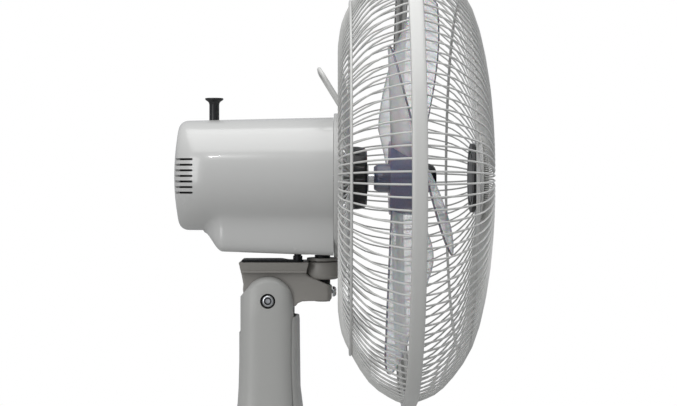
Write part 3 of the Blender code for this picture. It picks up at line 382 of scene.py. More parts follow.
# Bright chromium over polished tube: a mirror, faintly hazed along the rubbed length.
chrome, tree, shader = new_material("chrome_plate", "#D4D6DA", Metallic=1.0, Roughness=0.12)
grain(tree, shader, 6.0, 0.03, 0.05, (0.08, 0.20))
inner_low, inner_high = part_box("inner_tube")
inner_tube = turn("pole_inner_tube", [(0.0125, inner_low.z), (0.0125, inner_high.z), (0.0113, inner_high.z),
                                      (0.0113, inner_low.z)], sides=64, hollow=True)
fitted(inner_tube, "pole", ["inner_tube"], "bright_steel", chrome)

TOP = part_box("height_collar")[1].z
KNOB_Z = 0.452
collar = turn("height_collar_grip", [(0.0158, 0.3850), (0.0182, 0.3850), (0.0190, 0.3856), (0.0197, 0.3890),
                                     (0.0213, 0.3970), (0.0223, 0.4040), (0.0225, 0.4080), (0.0219, 0.4300),
                                     (0.0216, 0.4540), (0.0212, 0.4580), (0.0200, 0.4606), (0.0182, TOP),
                                     (0.0129, TOP), (0.0129, 0.4404), (0.0158, 0.4404)], sides=64, hollow=True)
cut(collar, rod(0.0043, 0.020, (0, 0.021, KNOB_Z), "Y"))
fitted(smoothed(collar), "base", ["height_collar"], "grey_plastic", satin_abs)

stem = turn("height_knob_stem", [(0.0038, 0.0133), (0.0039, 0.0140), (0.0039, 0.0262), (0.0075, 0.0262),
                                 (0.0080, 0.0275), (0.0088, 0.0310), (0.0118, 0.0352), (0.0148, 0.0372),
                                 (0.0155, 0.0386), (0.0155, 0.0515), (0.0150, 0.0532), (0.0134, 0.0540),
                                 (0.0060, 0.0540)], sides=48)
lay(stem, (-90, 0, 0), (0, 0, KNOB_Z))
bpy.ops.mesh.primitive_cube_add(size=1, location=(0, 0.0468, KNOB_Z), scale=(0.0115, 0.0132, 0.0398))
wing = joined("height_knob_wing", bpy.context.object)
round_edges(wing, 0.0035, 4)
fuse(stem, wing)
fitted(smoothed(stem, 35), "lock_knob", ["height_lock_knob"], "black_plastic", black_plastic)


# ---------------------------------------------------------------- control box
# A hollow ABS shell round the inner tube, with soft corners and a tapered foot and shoulder. A darker panel snaps
# into its front for four rocker-topped push keys and the timer, and a gland for the lead sits low in its back.

def block(name, low, high, edge=0.0, segments=3):
    """A box between two corners with rounded edges."""
    alone()
    size = [b - a for a, b in zip(low, high)]
    middle = [(a + b) / 2 for a, b in zip(low, high)]
    bpy.ops.mesh.primitive_cube_add(size=1, location=middle, scale=size)
    piece = joined(name, bpy.context.object)
    if edge:
        round_edges(piece, edge, segments)
    return piece


def choose(piece, test, kind="VERT"):
    """In edit mode, selects only the vertices or edges that pass the test."""
    only(piece)
    bpy.ops.object.mode_set(mode="EDIT")
    bpy.ops.mesh.select_mode(type=kind)
    bpy.ops.mesh.select_all(action="DESELECT")
    bpy.ops.object.mode_set(mode="OBJECT")
    mesh = piece.data
    for element in mesh.vertices if kind == "VERT" else mesh.edges:
        if kind == "VERT":
            element.select = test(element.co)
        else:
            element.select = test(*[mesh.vertices[i].co for i in element.vertices])
    bpy.ops.object.mode_set(mode="EDIT")


def slice_through(piece, point, normal, cut_off=False):
    """Bisects the piece with a plane. With cut_off, what lies on the normal's side is taken away."""
    only(piece)
    bpy.ops.object.mode_set(mode="EDIT")
    bpy.ops.mesh.select_all(action="SELECT")
    bpy.ops.mesh.bisect(plane_co=point, plane_no=normal, use_fill=cut_off, clear_outer=cut_off)
    bpy.ops.object.mode_set(mode="OBJECT")
    return piece


box_low, box_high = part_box("control_box")
box = block("control_box_shell", box_low, box_high)
for level in (box_low.z + 0.010, box_low.z + 0.034, box_high.z - 0.046, box_high.z - 0.020):
    slice_through(box, (0, 0, level), (0, 0, 1))
for level, scale in ((box_low.z, (0.60, 0.62, 1)), (box_low.z + 0.010, (0.88, 0.88, 1)),
                     (box_high.z - 0.020, (0.86, 0.93, 1)), (box_high.z, (0.58, 0.80, 1))):
    choose(box, lambda point: abs(point.z - level) < 0.0005)
    bpy.ops.transform.resize(value=scale)
choose(box, lambda a, b: abs(a.z - b.z) > 0.001, "EDGE")
bpy.ops.mesh.bevel(offset=0.020, segments=10, profile=0.5)
bpy.ops.object.mode_set(mode="OBJECT")
smoothed(box, 30)
round_edges(box, 0.006, 5, 14)
window = block("panel_window", (-0.0435, box_low.y - 0.010, 0.516), (0.0435, box_low.y + 0.012, 0.604))
choose(window, lambda a, b: abs(a.y - b.y) > 0.001, "EDGE")
bpy.ops.mesh.bevel(offset=0.006, segments=8, profile=0.5)
bpy.ops.object.mode_set(mode="OBJECT")
keys = [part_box(f"speed_button_{number}") for number in range(1, 5)]
travel = block("key_travel", (min(low.x for low, high in keys) - 0.001, box_low.y + 0.011, keys[0][0].z - 0.001),
               (max(high.x for low, high in keys) + 0.001, keys[0][1].y + 0.006, keys[0][1].z + 0.001))
cut(box, window, travel, rod(0.0129, 0.3, (0, 0, 0.565), "Z", 48))
fitted(smoothed(box, 40), "pole", ["control_box"], "grey_plastic", satin_abs)

# The panel is ABS in a darker moulding colour, its grain fine enough to keep a soft glow.
panel_abs, tree, shader = new_material("dark_grey_panel_abs", "#6E6F70", Roughness=0.42, IOR=1.53)
grain(tree, shader, 0.6, 0.16, 0.05, (0.36, 0.48))
panel_low, panel_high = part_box("control_panel")
panel = block("control_panel_plate", panel_low, panel_high)
choose(panel, lambda a, b: abs(a.y - b.y) > 0.001, "EDGE")
bpy.ops.mesh.bevel(offset=0.006, segments=8, profile=0.5)
bpy.ops.object.mode_set(mode="OBJECT")
round_edges(panel, 0.0009, 3)
for low, high in keys:
    slot = block("key_slot", (low.x - 0.0003, low.y - 0.01, low.z - 0.0003),
                 (high.x + 0.0003, high.y + 0.01, high.z + 0.0003))
    cut(panel, slot)
timer_low, timer_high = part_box("timer_knob")
TIMER_Z = (timer_low.z + timer_high.z) / 2
cut(panel, rod(0.0036, 0.02, (0, panel_low.y, TIMER_Z), "Y"))
fitted(smoothed(panel), "pole", ["control_panel"], "grey_plastic", panel_abs)

# Printed in white: plain ticks round the timer, a small ring over the first key and one to three bars over the
# others.
print_white, tree, shader = new_material("white_pad_print", "#E6E6E2", Roughness=0.55)
grain(tree, shader, 0.5, 0.1, 0.03)
marks = []
for i in range(13):
    angle = math.radians(-150 + 25 * i)
    reach = 0.0185 if i % 3 else 0.0192
    length = 0.0018 if i % 3 else 0.0032
    tick = block("tick", (-0.00035, -0.00012, -length / 2), (0.00035, 0.00012, length / 2))
    marks.append(lay(tick, (0, math.degrees(angle), 0), (reach * math.sin(angle), panel_low.y - 0.00012,
                                                         TIMER_Z + reach * math.cos(angle))))
for bars, (low, high) in enumerate(keys[1:], 1):
    for bar in range(bars):
        x = (low.x + high.x) / 2 + (bar - (bars - 1) / 2) * 0.0024
        marks.append(block("bar", (x - 0.0006, panel_low.y - 0.00024, high.z + 0.0022),
                           (x + 0.0006, panel_low.y, high.z + 0.0022 + 0.0030)))
low, high = keys[0]
bpy.ops.mesh.primitive_torus_add(major_radius=0.0015, minor_radius=0.0003, major_segments=32, minor_segments=6,
                                 location=((low.x + high.x) / 2, panel_low.y, high.z + 0.0037),
                                 rotation=(math.radians(90), 0, 0))
marks.append(bpy.context.object)
fitted(joined("panel_print", *marks), "pole", [], "white_nylon", print_white)

# Each key is a capped plunger with a shallow finger scoop.
for number, (low, high) in enumerate(keys, 1):
    key = block(f"speed_key_{number}", low, high, 0.0011, 4)
    scoop = rod(0.030, 0.0108, ((low.x + high.x) / 2, low.y - 0.0286, (low.z + high.z) / 2), "X", 96)
    cut(key, scoop)
    fitted(smoothed(key, 35), f"button_{number}", [f"speed_button_{number}"], "black_plastic", black_plastic)

knob = turn("timer_knob_cap", [(0.0033, -0.0428), (0.0033, -0.0508), (0.0133, -0.0508), (0.0140, -0.0514),
                               (0.0139, -0.0535), (0.0128, -0.0628), (0.0124, -0.0640), (0.0112, -0.0648),
                               (0.0080, -0.0650)], sides=72)
knob = lay(knob, (-90, 0, 0), (0, 0, TIMER_Z))
grip = block("timer_grip", (-0.0018, timer_low.y, TIMER_Z - 0.0113), (0.0018, -0.0560, TIMER_Z + 0.0113), 0.0012, 3)
fuse(knob, grip)
fitted(smoothed(knob, 35), "timer", ["timer_knob"], "black_plastic", black_plastic)
pointer = block("timer_pointer", (-0.0004, timer_low.y - 0.00015, TIMER_Z + 0.0030),
                (0.0004, timer_low.y + 0.0004, TIMER_Z + 0.0098))
fitted(pointer, "timer", [], "white_nylon", print_white)

gland_low, gland_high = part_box("cord_gland")
gland = turn("lead_gland", [(0.0026, 0.0500), (0.0034, 0.0500), (0.0041, 0.0492), (0.0048, 0.0480),
                            (0.0070, 0.0474), (0.0075, 0.0468), (0.0075, 0.0443), (0.0049, 0.0443),
                            (0.0049, 0.0342), (0.0026, 0.0342)], sides=40, hollow=True)
lay(gland, (-90, 0, 0), ((gland_low.x + gland_high.x) / 2, 0, (gland_low.z + gland_high.z) / 2))
fitted(gland, "pole", ["cord_gland"], "black_plastic", black_plastic)
for node, material in (("switch_block", black_plastic), ("motor_capacitor", black_plastic)):
    painted(cad[node], material)
# Undyed nylon: creamy and waxy, as the works of the timer and the gears have it.
nylon, tree, shader = new_material("white_nylon", "#E2DDCB", Roughness=0.45, IOR=1.53)
grain(tree, shader, 0.9, 0.12, 0.08, (0.38, 0.52))
painted(cad["timer_unit"], nylon)


# ---------------------------------------------------------------- neck
# A round-sided ABS post that slips over the inner tube. Its top is a fork with two arched cheeks, and the steel
# tilt bolt through them clamps the bracket's tongue. A shallow cover closes its front.

def outlined(name, outline, half_width):
    """A plate facing X with a side outline of (forward, height): a filled circle whose corners are moved there."""
    alone()
    bpy.ops.mesh.primitive_circle_add(vertices=len(outline), fill_type="NGON")
    plate = bpy.context.object
    plate.name = name
    plate.data.name = name
    for corner, (forward, height) in zip(plate.data.vertices, outline):
        corner.co = (-half_width, -forward, height)
    bpy.ops.object.mode_set(mode="EDIT")
    bpy.ops.mesh.select_all(action="SELECT")
    bpy.ops.mesh.extrude_region_move(TRANSFORM_OT_translate={"value": (2 * half_width, 0, 0)})
    return smoothed(plate)


def arc(centre, radius, start_deg, end_deg, steps):
    """Points along an arc, both ends among them."""
    points = []
    for i in range(steps + 1):
        angle = math.radians(start_deg + (end_deg - start_deg) * i / steps)
        points.append((centre[0] + radius * math.cos(angle), centre[1] + radius * math.sin(angle)))
    return points


def post(name, stations, sides=96, power=2.0):
    """A post of oval rings, (height, half width, rear, front). A power over 2 squares the rings."""
    alone()
    height, half, rear, front = stations[0]
    bpy.ops.mesh.primitive_circle_add(vertices=sides, radius=1, fill_type="NGON",
                                      location=(0, (rear + front) / 2, height))
    bpy.ops.transform.resize(value=(half, (rear - front) / 2, 1))
    piece = joined(name, bpy.context.object)
    for vertex in piece.data.vertices:
        across, along = abs(vertex.co.x / half), abs((vertex.co.y - (rear + front) / 2) / ((rear - front) / 2))
        swell = (across ** power + along ** power) ** (-1 / power)
        vertex.co.x *= swell
        vertex.co.y = (rear + front) / 2 + (vertex.co.y - (rear + front) / 2) * swell
    bpy.ops.object.mode_set(mode="EDIT")
    bpy.ops.mesh.select_all(action="SELECT")
    for (z, x, r, f), (next_z, next_x, next_r, next_f) in zip(stations, stations[1:]):
        shift = ((next_r + next_f) - (r + f)) / 2
        bpy.ops.mesh.extrude_region_move(TRANSFORM_OT_translate={"value": (0, shift, next_z - z)})
        bpy.ops.transform.resize(value=(next_x / x, (next_r - next_f) / (r - f), 1))
    return smoothed(piece)


TILT_Z = sum(corner.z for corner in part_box("tilt_nut")) / 2
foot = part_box("neck_post")[0].z
neck = post("neck_post_body", [(foot, 0.0312, 0.0357, -0.0320), (foot + 0.008, 0.0302, 0.0340, -0.0306),
                               (foot + 0.018, 0.0292, 0.0324, -0.0294), (foot + 0.030, 0.0281, 0.0308, -0.0281),
                               (foot + 0.045, 0.0275, 0.0299, -0.0273), (TILT_Z - 0.060, 0.0270, 0.0292, -0.0268),
                               (TILT_Z - 0.020, 0.0270, 0.0292, -0.0268), (TILT_Z + 0.026, 0.0270, 0.0292, -0.0268)],
            120, 3.2)
arch = [(-0.060, foot - 0.100), (-0.060, TILT_Z - 0.0358)] + arc((0, TILT_Z - 0.0005), 0.0240, 133, 18, 22)
arch += [(0.0262, TILT_Z - 0.0060), (0.060, TILT_Z - 0.0140), (0.060, foot - 0.100)]
# What the fork is cut to: its outer 8 mm on either side shrink towards the tilt axis along a quarter circle.
CHEEK, ROUNDING = 0.0192, 0.0080
dome = outlined("fork_dome", arch, CHEEK)
for side in (-1, 1):
    choose(dome, lambda point: abs(point.x - side * CHEEK) < 0.0002)
    reach, size = 0, 1
    for level in range(1, 10):
        bend = math.radians(9.9 * level)
        bpy.ops.mesh.extrude_region_move(
            TRANSFORM_OT_translate={"value": (side * (ROUNDING * math.sin(bend) - reach), 0, 0)})
        shrink = (1 - 0.34 * (1 - math.cos(bend))) / size
        bpy.ops.transform.resize(value=(1, shrink, shrink), center_override=(0, 0, TILT_Z))
        reach, size = ROUNDING * math.sin(bend), size * shrink
    bpy.ops.object.mode_set(mode="OBJECT")
choose(dome, lambda point: point.z < foot)
bpy.ops.transform.resize(value=(1.5, 1, 1))
bpy.ops.object.mode_set(mode="OBJECT")
apply_to(neck, "BOOLEAN", operation="INTERSECT", solver="EXACT", object=smoothed(dome))
bpy.data.objects.remove(dome, do_unlink=True)
slot = block("fork_slot", (-0.0165, -0.06, TILT_Z - 0.0325), (0.0165, 0.06, TILT_Z + 0.06))
bore = rod(0.0145, 0.09, (0, 0, foot + 0.03), "Z", 64)
recesses = [rod(0.0074, 0.03, (side * 0.0375, 0, TILT_Z), "X", 48) for side in (-1, 1)]
cut(neck, slot, bore, *recesses, rod(0.0034, 0.1, (0, 0, TILT_Z), "X"))
fitted(smoothed(neck, 40), "pole", ["neck_post"], "grey_plastic", satin_abs)

cover_low, cover_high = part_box("neck_front_cover")
cover = post("neck_cover_shell",
             [(cover_low.z, 0.0256, 0.0330, cover_low.y), (cover_low.z + 0.012, 0.0247, 0.0310, -0.0338),
              (cover_low.z + 0.033, 0.0240, 0.0300, -0.0312), (cover_high.z - 0.004, 0.0238, 0.0292, -0.0304),
              (cover_high.z, 0.0234, 0.0292, -0.0299)], 120, 3.2)
inside = post("neck_cover_inside",
              [(cover_low.z - 0.01, 0.0312, 0.0357, -0.0318), (foot + 0.018, 0.0296, 0.0327, -0.0297),
               (foot + 0.045, 0.0279, 0.0302, -0.0276), (TILT_Z - 0.060, 0.0274, 0.0295, -0.0271),
               (TILT_Z, 0.0274, 0.0295, -0.0271)], 120, 3.2)
rear_half = block("cover_rear", (-0.05, -0.0170, foot - 0.02), (0.05, 0.06, TILT_Z + 0.02))
cut(cover, inside, rear_half)
fitted(smoothed(cover, 40), "pole", ["neck_front_cover"], "grey_plastic", satin_abs)

# Zinc-plated steel, lightly brushed by its tumbling.
zinc, tree, shader = new_material("zinc_plated_steel", "#C9CBCE", Metallic=1.0, Roughness=0.24)
grain(tree, shader, 0.9, 0.10, 0.04, (0.18, 0.34))
bolt = turn("tilt_bolt_body", [(0.0032, -0.0255), (0.0032, 0.0229), (0.0056, 0.0229), (0.0058, 0.0233),
                               (0.0058, 0.0250), (0.0052, 0.0258), (0.0043, 0.0262)], sides=48)
dish = turn("bolt_dish", [(0.0036, 0.0246), (0.0042, 0.0300)], sides=48)
drive = turn("bolt_drive", [(0.0022, 0.0225), (0.0022, 0.0300)], sides=6)
cut(bolt, dish, drive)
lay(bolt, (0, -90, 0), (0, 0, TILT_Z))
fitted(smoothed(bolt, 30), "pole", ["tilt_bolt"], "bright_steel", zinc)
# The dark ring in the socket and the black ring round the head are painted shade: dark pieces set where the bolt's
# socket and the gap round its head in the recess fall in shade.
bpy.ops.mesh.primitive_torus_add(major_radius=0.0066, minor_radius=0.00075, major_segments=48, minor_segments=8,
                                 location=(-0.0233, 0, TILT_Z), rotation=(0, math.radians(90), 0))
recess_shade_ring = bpy.context.object
socket_shade_ring = turn("socket_shade_ring", [(0.0023, 0.0242), (0.0023, 0.0249), (0.0038, 0.0249), (0.0036, 0.0242)],
                   sides=48, hollow=True)
lay(socket_shade_ring, (0, -90, 0), (0, 0, TILT_Z))
ring = joined("bolt_recess_painted_shade", recess_shade_ring, socket_shade_ring)
fitted(smoothed(ring, 60), "pole", [], "black_plastic", black_plastic)
painted(cad["tilt_nut"], zinc)


# ---------------------------------------------------------------- tilt bracket
# Moulded glass-filled plastic in a darker grey: a flat deck with a bead along its foot, a tongue that fills the
# neck's fork, an arm with the stop screw, and the round boss in which the head swivels.

def bend_wire(name, points, thickness, sides=3, closed=False):
    """A round wire through points, as a mesh with about twice as many sides as given."""
    path = bpy.data.curves.new(name, "CURVE")
    path.dimensions = "3D"
    path.bevel_depth = thickness / 2
    path.bevel_resolution = sides - 2
    path.use_fill_caps = not closed
    spline = path.splines.new("POLY")
    spline.points.add(len(points) - 1)
    spline.use_cyclic_u = closed
    for knot, point in zip(spline.points, points):
        knot.co = (*point, 1)
    wire = bpy.data.objects.new(name, path)
    bpy.context.scene.collection.objects.link(wire)
    only(wire)
    bpy.ops.object.convert(target="MESH")
    wire = bpy.context.object
    wire.data.name = name
    bpy.ops.object.mode_set(mode="EDIT")
    bpy.ops.mesh.select_all(action="SELECT")
    bpy.ops.mesh.remove_doubles(threshold=0.000002)
    bpy.ops.mesh.normals_make_consistent(inside=False)
    bpy.ops.object.mode_set(mode="OBJECT")
    bpy.ops.object.shade_smooth()
    return wire


# Glass-filled plastic: a warm grey with a dry, slightly grainy skin.
bracket_plastic, tree, shader = new_material("glass_filled_grey_plastic", "#8D8A85", Roughness=0.42, IOR=1.5)
grain(tree, shader, 0.9, 0.18, 0.08, (0.38, 0.50))
DECK_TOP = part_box("tilt_bracket")[1].z
SWIVEL_Y = sum(corner.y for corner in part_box("swivel_pin")) / 2
tongue = [(-0.0285, DECK_TOP - 0.004), (-0.0262, DECK_TOP - 0.0130), (-0.0245, DECK_TOP - 0.0220),
          (-0.0250, DECK_TOP - 0.0270), (-0.0240, TILT_Z + 0.004), (-0.0200, TILT_Z - 0.006)]
tongue += arc((0, TILT_Z), 0.0195, 205, 300, 12)
tongue += [(0.0170, TILT_Z - 0.0085), (0.0270, TILT_Z - 0.0055), (0.0290, TILT_Z - 0.0030),
           (0.0330, TILT_Z - 0.0012), (0.0400, TILT_Z - 0.0008), (0.0590, TILT_Z - 0.0008),
           (0.0612, TILT_Z - 0.0002), (0.0622, TILT_Z + 0.0018), (0.0625, TILT_Z + 0.0130),
           (0.0560, TILT_Z + 0.0165), (0.0480, TILT_Z + 0.0200), (0.0400, TILT_Z + 0.0235),
           (0.0360, DECK_TOP - 0.0100), (0.0360, DECK_TOP - 0.004)]
bracket = outlined("tilt_bracket_casting", tongue[::-1], 0.0160)
for side in (-1, 1):
    slice_through(bracket, (side * 0.0105, -0.0635, 0), (side * 0.7071, -0.7071, 0), cut_off=True)
round_edges(bracket, 0.0016, 3, 35)
deck = block("deck", (-0.0265, -0.0400, DECK_TOP - 0.0095), (0.0265, 0.0285, DECK_TOP))
choose(deck, lambda point: point.z < DECK_TOP - 0.005)
bpy.ops.transform.resize(value=(0.82, 0.93, 1))
bpy.ops.object.mode_set(mode="OBJECT")
round_edges(deck, 0.0008, 3)
boss = turn("boss", [(0.0130, -0.0178), (0.0150, -0.0172), (0.0166, -0.0158), (0.0176, -0.0136), (0.0180, -0.0110),
                     (0.0180, -0.0016), (0.0176, -0.0008), (0.0168, -0.0005)], sides=72)
lay(boss, at=(0, SWIVEL_Y, DECK_TOP))
bead_path = [(0.0221, 0.0258), (-0.0221, 0.0258), (-0.0221, -0.0370), (0.0221, -0.0370)]
bead = bend_wire("deck_bead", [(x, y, DECK_TOP - 0.0094) for x, y in bead_path], 0.0020, 8, closed=True)
fuse(bracket, deck, boss, bead)
pin_bore = rod(0.0080, 0.06, (0, SWIVEL_Y, DECK_TOP - 0.015), "Z", 48)
cut(bracket, pin_bore, rod(0.0034, 0.1, (0, 0, TILT_Z), "X"))
fitted(smoothed(bracket, 40), "bracket", ["tilt_bracket"], "grey_plastic", bracket_plastic)

screw = turn("stop_screw_body", [(0.0020, -0.0612), (0.0020, -0.0629), (0.0050, -0.0629), (0.0052, -0.0634),
                                 (0.0050, -0.0648), (0.0044, -0.0659), (0.0032, -0.0666), (0.0018, -0.0668)],
             sides=40)
lay(screw, (-90, 0, 0), (0, 0, TILT_Z + 0.0075))
cross = block("cross", (-0.0005, -0.07, TILT_Z + 0.0047), (0.0005, -0.0655, TILT_Z + 0.0103))
cross_bar = block("cross_bar", (-0.0028, -0.07, TILT_Z + 0.0070), (0.0028, -0.0655, TILT_Z + 0.0080))
cut(screw, cross, cross_bar)
fitted(smoothed(screw, 35), "bracket", ["bracket_screw"], "bright_steel", zinc)

# The anchor plate is stamped from black-oxide steel; the washer is moulded.
black_steel_and_pin_shade, tree, shader = new_material("black_oxide_steel_and_pin_shade", "#1B1B1D", Metallic=0.6, Roughness=0.42)
grain(tree, shader, 1.2, 0.15, 0.06, (0.34, 0.52))
painted(cad["anchor_plate"], black_steel_and_pin_shade)
washer = turn("swivel_washer_ring", [(0.0083, 0.0003), (0.0152, 0.0003), (0.0155, 0.0006), (0.0155, 0.0030),
                                     (0.0152, 0.0033), (0.0083, 0.0033)], sides=64, hollow=True)
lay(washer, at=(0, SWIVEL_Y, DECK_TOP))
fitted(washer, "bracket", ["swivel_washer"], "black_plastic", bracket_plastic)
painted(cad["oscillation_link"], zinc)

# Pressure-cast aluminium, grey and slightly sandy.
cast_aluminium, tree, shader = new_material("cast_aluminium", "#A9ABAD", Metallic=0.9, Roughness=0.46)
grain(tree, shader, 0.8, 0.35, 0.10, (0.40, 0.56))
# The swivel pin is cast aluminium. Its black here is painted shade, for the shadow it stands in below the boss.
painted(cad["swivel_pin"], black_steel_and_pin_shade)


# ---------------------------------------------------------------- motor and swing gear
# An induction motor between two cast shields: stacked electrical steel, enamelled copper coils, a ground shaft in
# bronze bushes. Its worm drives the nylon gears that swing the head. These pieces keep their own shapes.

# Ground steel is near a mirror, with fine marks that dull it in places.
ground_steel, tree, shader = new_material("ground_shaft_steel", "#D0D1D3", Metallic=1.0, Roughness=0.16)
grain(tree, shader, 0.5, 0.08, 0.03, (0.12, 0.24))
electrical_steel, tree, shader = new_material("stacked_electrical_steel", "#8C8F94", Metallic=1.0, Roughness=0.40)
# Its sheets, stacked along the shaft, show as fine lines round the core.
sheets = add_node(tree, "TexWave", Scale=0.31416 / 0.001, Distortion=0.2, bands_direction="Y")
sheet_relief = add_node(tree, "Bump", {"Height": sheets.outputs["Fac"]}, Strength=0.5, Distance=0.0001)
tree.links.new(sheet_relief.outputs["Normal"], shader.inputs["Normal"])
copper, tree, shader = new_material("enamelled_copper", "#B5673A", Metallic=1.0, Roughness=0.30)
# The turns of wire lie round the axis and read as a ribbed surface with long glints.
turns = add_node(tree, "TexWave", Scale=0.31416 / 0.0012, Distortion=0.6, bands_direction="Y")
turn_relief = add_node(tree, "Bump", {"Height": turns.outputs["Fac"]}, Strength=0.8, Distance=0.0003)
tree.links.new(turn_relief.outputs["Normal"], shader.inputs["Normal"])
# Sintered bronze is porous: yellow-brown, with a speckled sheen.
bronze, tree, shader = new_material("sintered_bronze", "#A9814C", Metallic=1.0, Roughness=0.38)
grain(tree, shader, 0.4, 0.30, 0.05, (0.32, 0.48))
for material, nodes in ((ground_steel, ["motor_shaft"]), (electrical_steel, ["stator_core", "rotor_core"]),
                        (copper, ["winding_front", "winding_rear"]),
                        (bronze, ["front_bearing", "rear_bearing", "worm"]),
                        (cast_aluminium, ["front_shield", "rear_shield", "gearbox_case", "gearbox_lid"]),
                        (nylon, ["worm_wheel", "crank_gear"])):
    for node in nodes:
        painted(cad[node], material)


# ---------------------------------------------------------------- motor housing
# One glossy ABS moulding, round and slightly tapered, with a soft rear corner. A keel is drawn out of its underside
# to hold the swing gear, and seven cooling slots run round each side of its rear corner.

# Glossy ABS under a clear coat: sharp reflections that waver a little over the moulding's long waves.
glossy_abs, tree, shader = new_material("glossy_light_grey_abs", "#BDBDBB", Roughness=0.22, IOR=1.53,
                                        Coat_Weight=0.35, Coat_Roughness=0.05)
grain(tree, shader, 6.0, 0.05, 0.10, (0.19, 0.28))
housing_low, housing_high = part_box("motor_housing")
FRONT, REAR = -housing_low.y, -housing_high.y


def copied(piece, name, turn_deg=(0, 0, 0), at=(0, 0, 0)):
    """A copy with its own mesh, turned about the origin and moved."""
    twin = piece.copy()
    twin.data = piece.data.copy()
    twin.name = name
    bpy.context.scene.collection.objects.link(twin)
    return lay(twin, turn_deg, at)


def forwards(piece):
    """Brings a piece that was made round the Z axis onto the fan's axis, its top to the front."""
    return lay(piece, (90, 0, 0), (0, 0, AXIS_Z))


def housing_form(name, inset):
    """The round form along the axis, with a domed rear. Every ring is then pushed down and out where the keel is."""
    places = [(REAR + 0.0050 * share * share, share) for share in (0.1, 0.3, 0.5, 0.65, 0.8, 0.9)]
    places += [(REAR + 0.0050 + 0.0090 * (1 - math.cos(math.radians(10 * i))), 1.0) for i in range(9)]
    places += [(REAR + 0.014 + (FRONT - REAR - 0.014) * i / 70, 1.0) for i in range(71)]
    stations = []
    for forward, dome in places:
        side = min(1.0, max(0.0, (REAR + 0.038 - forward) / 0.033))
        top = min(1.0, max(0.0, (REAR + 0.014 - forward) / 0.009))
        share = (forward - REAR) / (FRONT - REAR)
        narrower = 0.016 * (1 - math.sqrt(1 - side * side)) + inset
        lower = 0.007 * (1 - math.sqrt(1 - top * top)) + inset
        stations.append((forward, (0.0560 + 0.0030 * share - narrower) * dome,
                         (0.0565 + 0.0035 * share - lower) * dome, (-0.0515 - 0.0010 * share + lower) * dome))
    if inset:
        stations = [(forward + inset, half, top, bottom) for forward, half, top, bottom in stations]
    form = post(name, stations, 208, 2.15)
    for vertex in form.data.vertices:
        x, z, forward = vertex.co
        radius = math.hypot(x, z)
        across, down = abs(x) / radius, max(0.0, -z / radius)
        opening = min(1.0, max(0.0, (forward - inset + 0.0645) / 0.024))
        width = (0.0405 - inset) * math.sqrt(1 - (1 - opening) ** 2)
        slope = min(1.0, max(0.0, (forward - inset + 0.0640) / 0.0205))
        depth = 0.0520 + 0.0195 * slope * slope * (3 - 2 * slope) + 0.0040 * max(0.0, forward + 0.045) / 0.109
        if down > 0.05 and width > 0.002:
            keel = ((across / width) ** 12 + (down / (depth - inset)) ** 12) ** (-1 / 12)
            reach = (radius ** 18 + keel ** 18) ** (1 / 18)
            vertex.co.x, vertex.co.y = x * reach / radius, z * reach / radius
    return forwards(form)


housing = housing_form("motor_housing_shell", 0.0)
hollow = housing_form("housing_hollow", 0.0028)
vent = block("vent", (0.034, 0.0712, -0.001), (0.080, 0.110, 0.001))
side_end = rod(0.001, 0.046, (0.057, 0.0712, 0), "X", 20)
fuse(vent, side_end, rod(0.001, 0.0388, (0.034, 0.0906, 0), "Y", 20))
vents = []
for i in range(7):
    level = AXIS_Z + 0.0180 - 0.00533 * i
    vents.append(copied(vent, f"vent_left_{i + 1}", (0, 180, 0), (0, 0, level)))
    vents.append(copied(vent, f"vent_right_{i + 1}", (0, 0, 0), (0, 0, level)))
bpy.data.objects.remove(vent)
knob_low, knob_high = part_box("oscillation_knob")
KNOB_X, KNOB_Y = (knob_low.x + knob_high.x) / 2, (knob_low.y + knob_high.y) / 2
stem_hole = rod(0.0053, 0.06, (KNOB_X, KNOB_Y, AXIS_Z + 0.06), "Z", 48)
socket = rod(0.0083, 0.03, (0, SWIVEL_Y, AXIS_Z - 0.075), "Z", 64)
# The anchor stud needs an arc-shaped slot in the keel's floor, wide enough for the whole swing.
STUD = Vector((-0.018, -0.029, 0))
spoke = STUD - Vector((0, SWIVEL_Y, 0))
middle_deg = math.degrees(math.atan2(spoke.y, spoke.x))
swing = arc((0, SWIVEL_Y), spoke.length + 0.0050, middle_deg - 50, middle_deg + 50, 36)
swing += arc((0, SWIVEL_Y), spoke.length - 0.0050, middle_deg + 50, middle_deg - 50, 36)
alone()
bpy.ops.mesh.primitive_circle_add(vertices=len(swing), fill_type="NGON")
swing_slot = bpy.context.object
for corner, (x, y) in zip(swing_slot.data.vertices, swing):
    corner.co = (x, y, AXIS_Z - 0.090)
bpy.ops.object.mode_set(mode="EDIT")
bpy.ops.mesh.select_all(action="SELECT")
bpy.ops.mesh.extrude_region_move(TRANSFORM_OT_translate={"value": (0, 0, 0.024)})
smoothed(swing_slot)
cut(housing, hollow, stem_hole, socket, swing_slot, *vents)
# A moulded web behind the gear case stiffens the shell and keeps light from passing through the slots.
web = block("web", (-0.0010, 0.0745, AXIS_Z - 0.0320), (0.0010, 0.0885, AXIS_Z + 0.0340))
fuse(housing, web)
fitted(smoothed(housing, 34), "head", ["motor_housing"], "grey_gloss_plastic", glossy_abs)

# The front cover is a separate flanged plate with a threaded nose; its rounded rim catches a thin line of light.
cover_rings = [(0.0643, 0.0631), (0.0645, 0.0636), (0.0650, 0.0640), (0.0711, 0.0640), (0.0716, 0.0637),
               (0.0719, 0.0631)]
flange = post("housing_flange", [(f, r, r, -r) for f, r in cover_rings], 160)
for vertex in flange.data.vertices:
    if vertex.co.y < -0.030:
        vertex.co.y -= 0.0145 * min(1.0, (-vertex.co.y - 0.030) / 0.030)
nose_rings = [(0.0240, 0.0700), (0.0240, 0.0779), (0.0232, 0.0787), (0.0150, 0.0787), (0.0142, 0.0793)]
for i in range(9):
    nose_rings += [(0.0135, 0.0805 + 0.0018 * i), (0.0142, 0.0814 + 0.0018 * i)]
nose_rings += [(0.0134, 0.0985)]
nose = turn("nose", nose_rings, sides=72)
fuse(flange, nose)
cut(flange, rod(0.0090, 0.06, (0, 0, 0.085), "Z", 48))
forwards(flange)
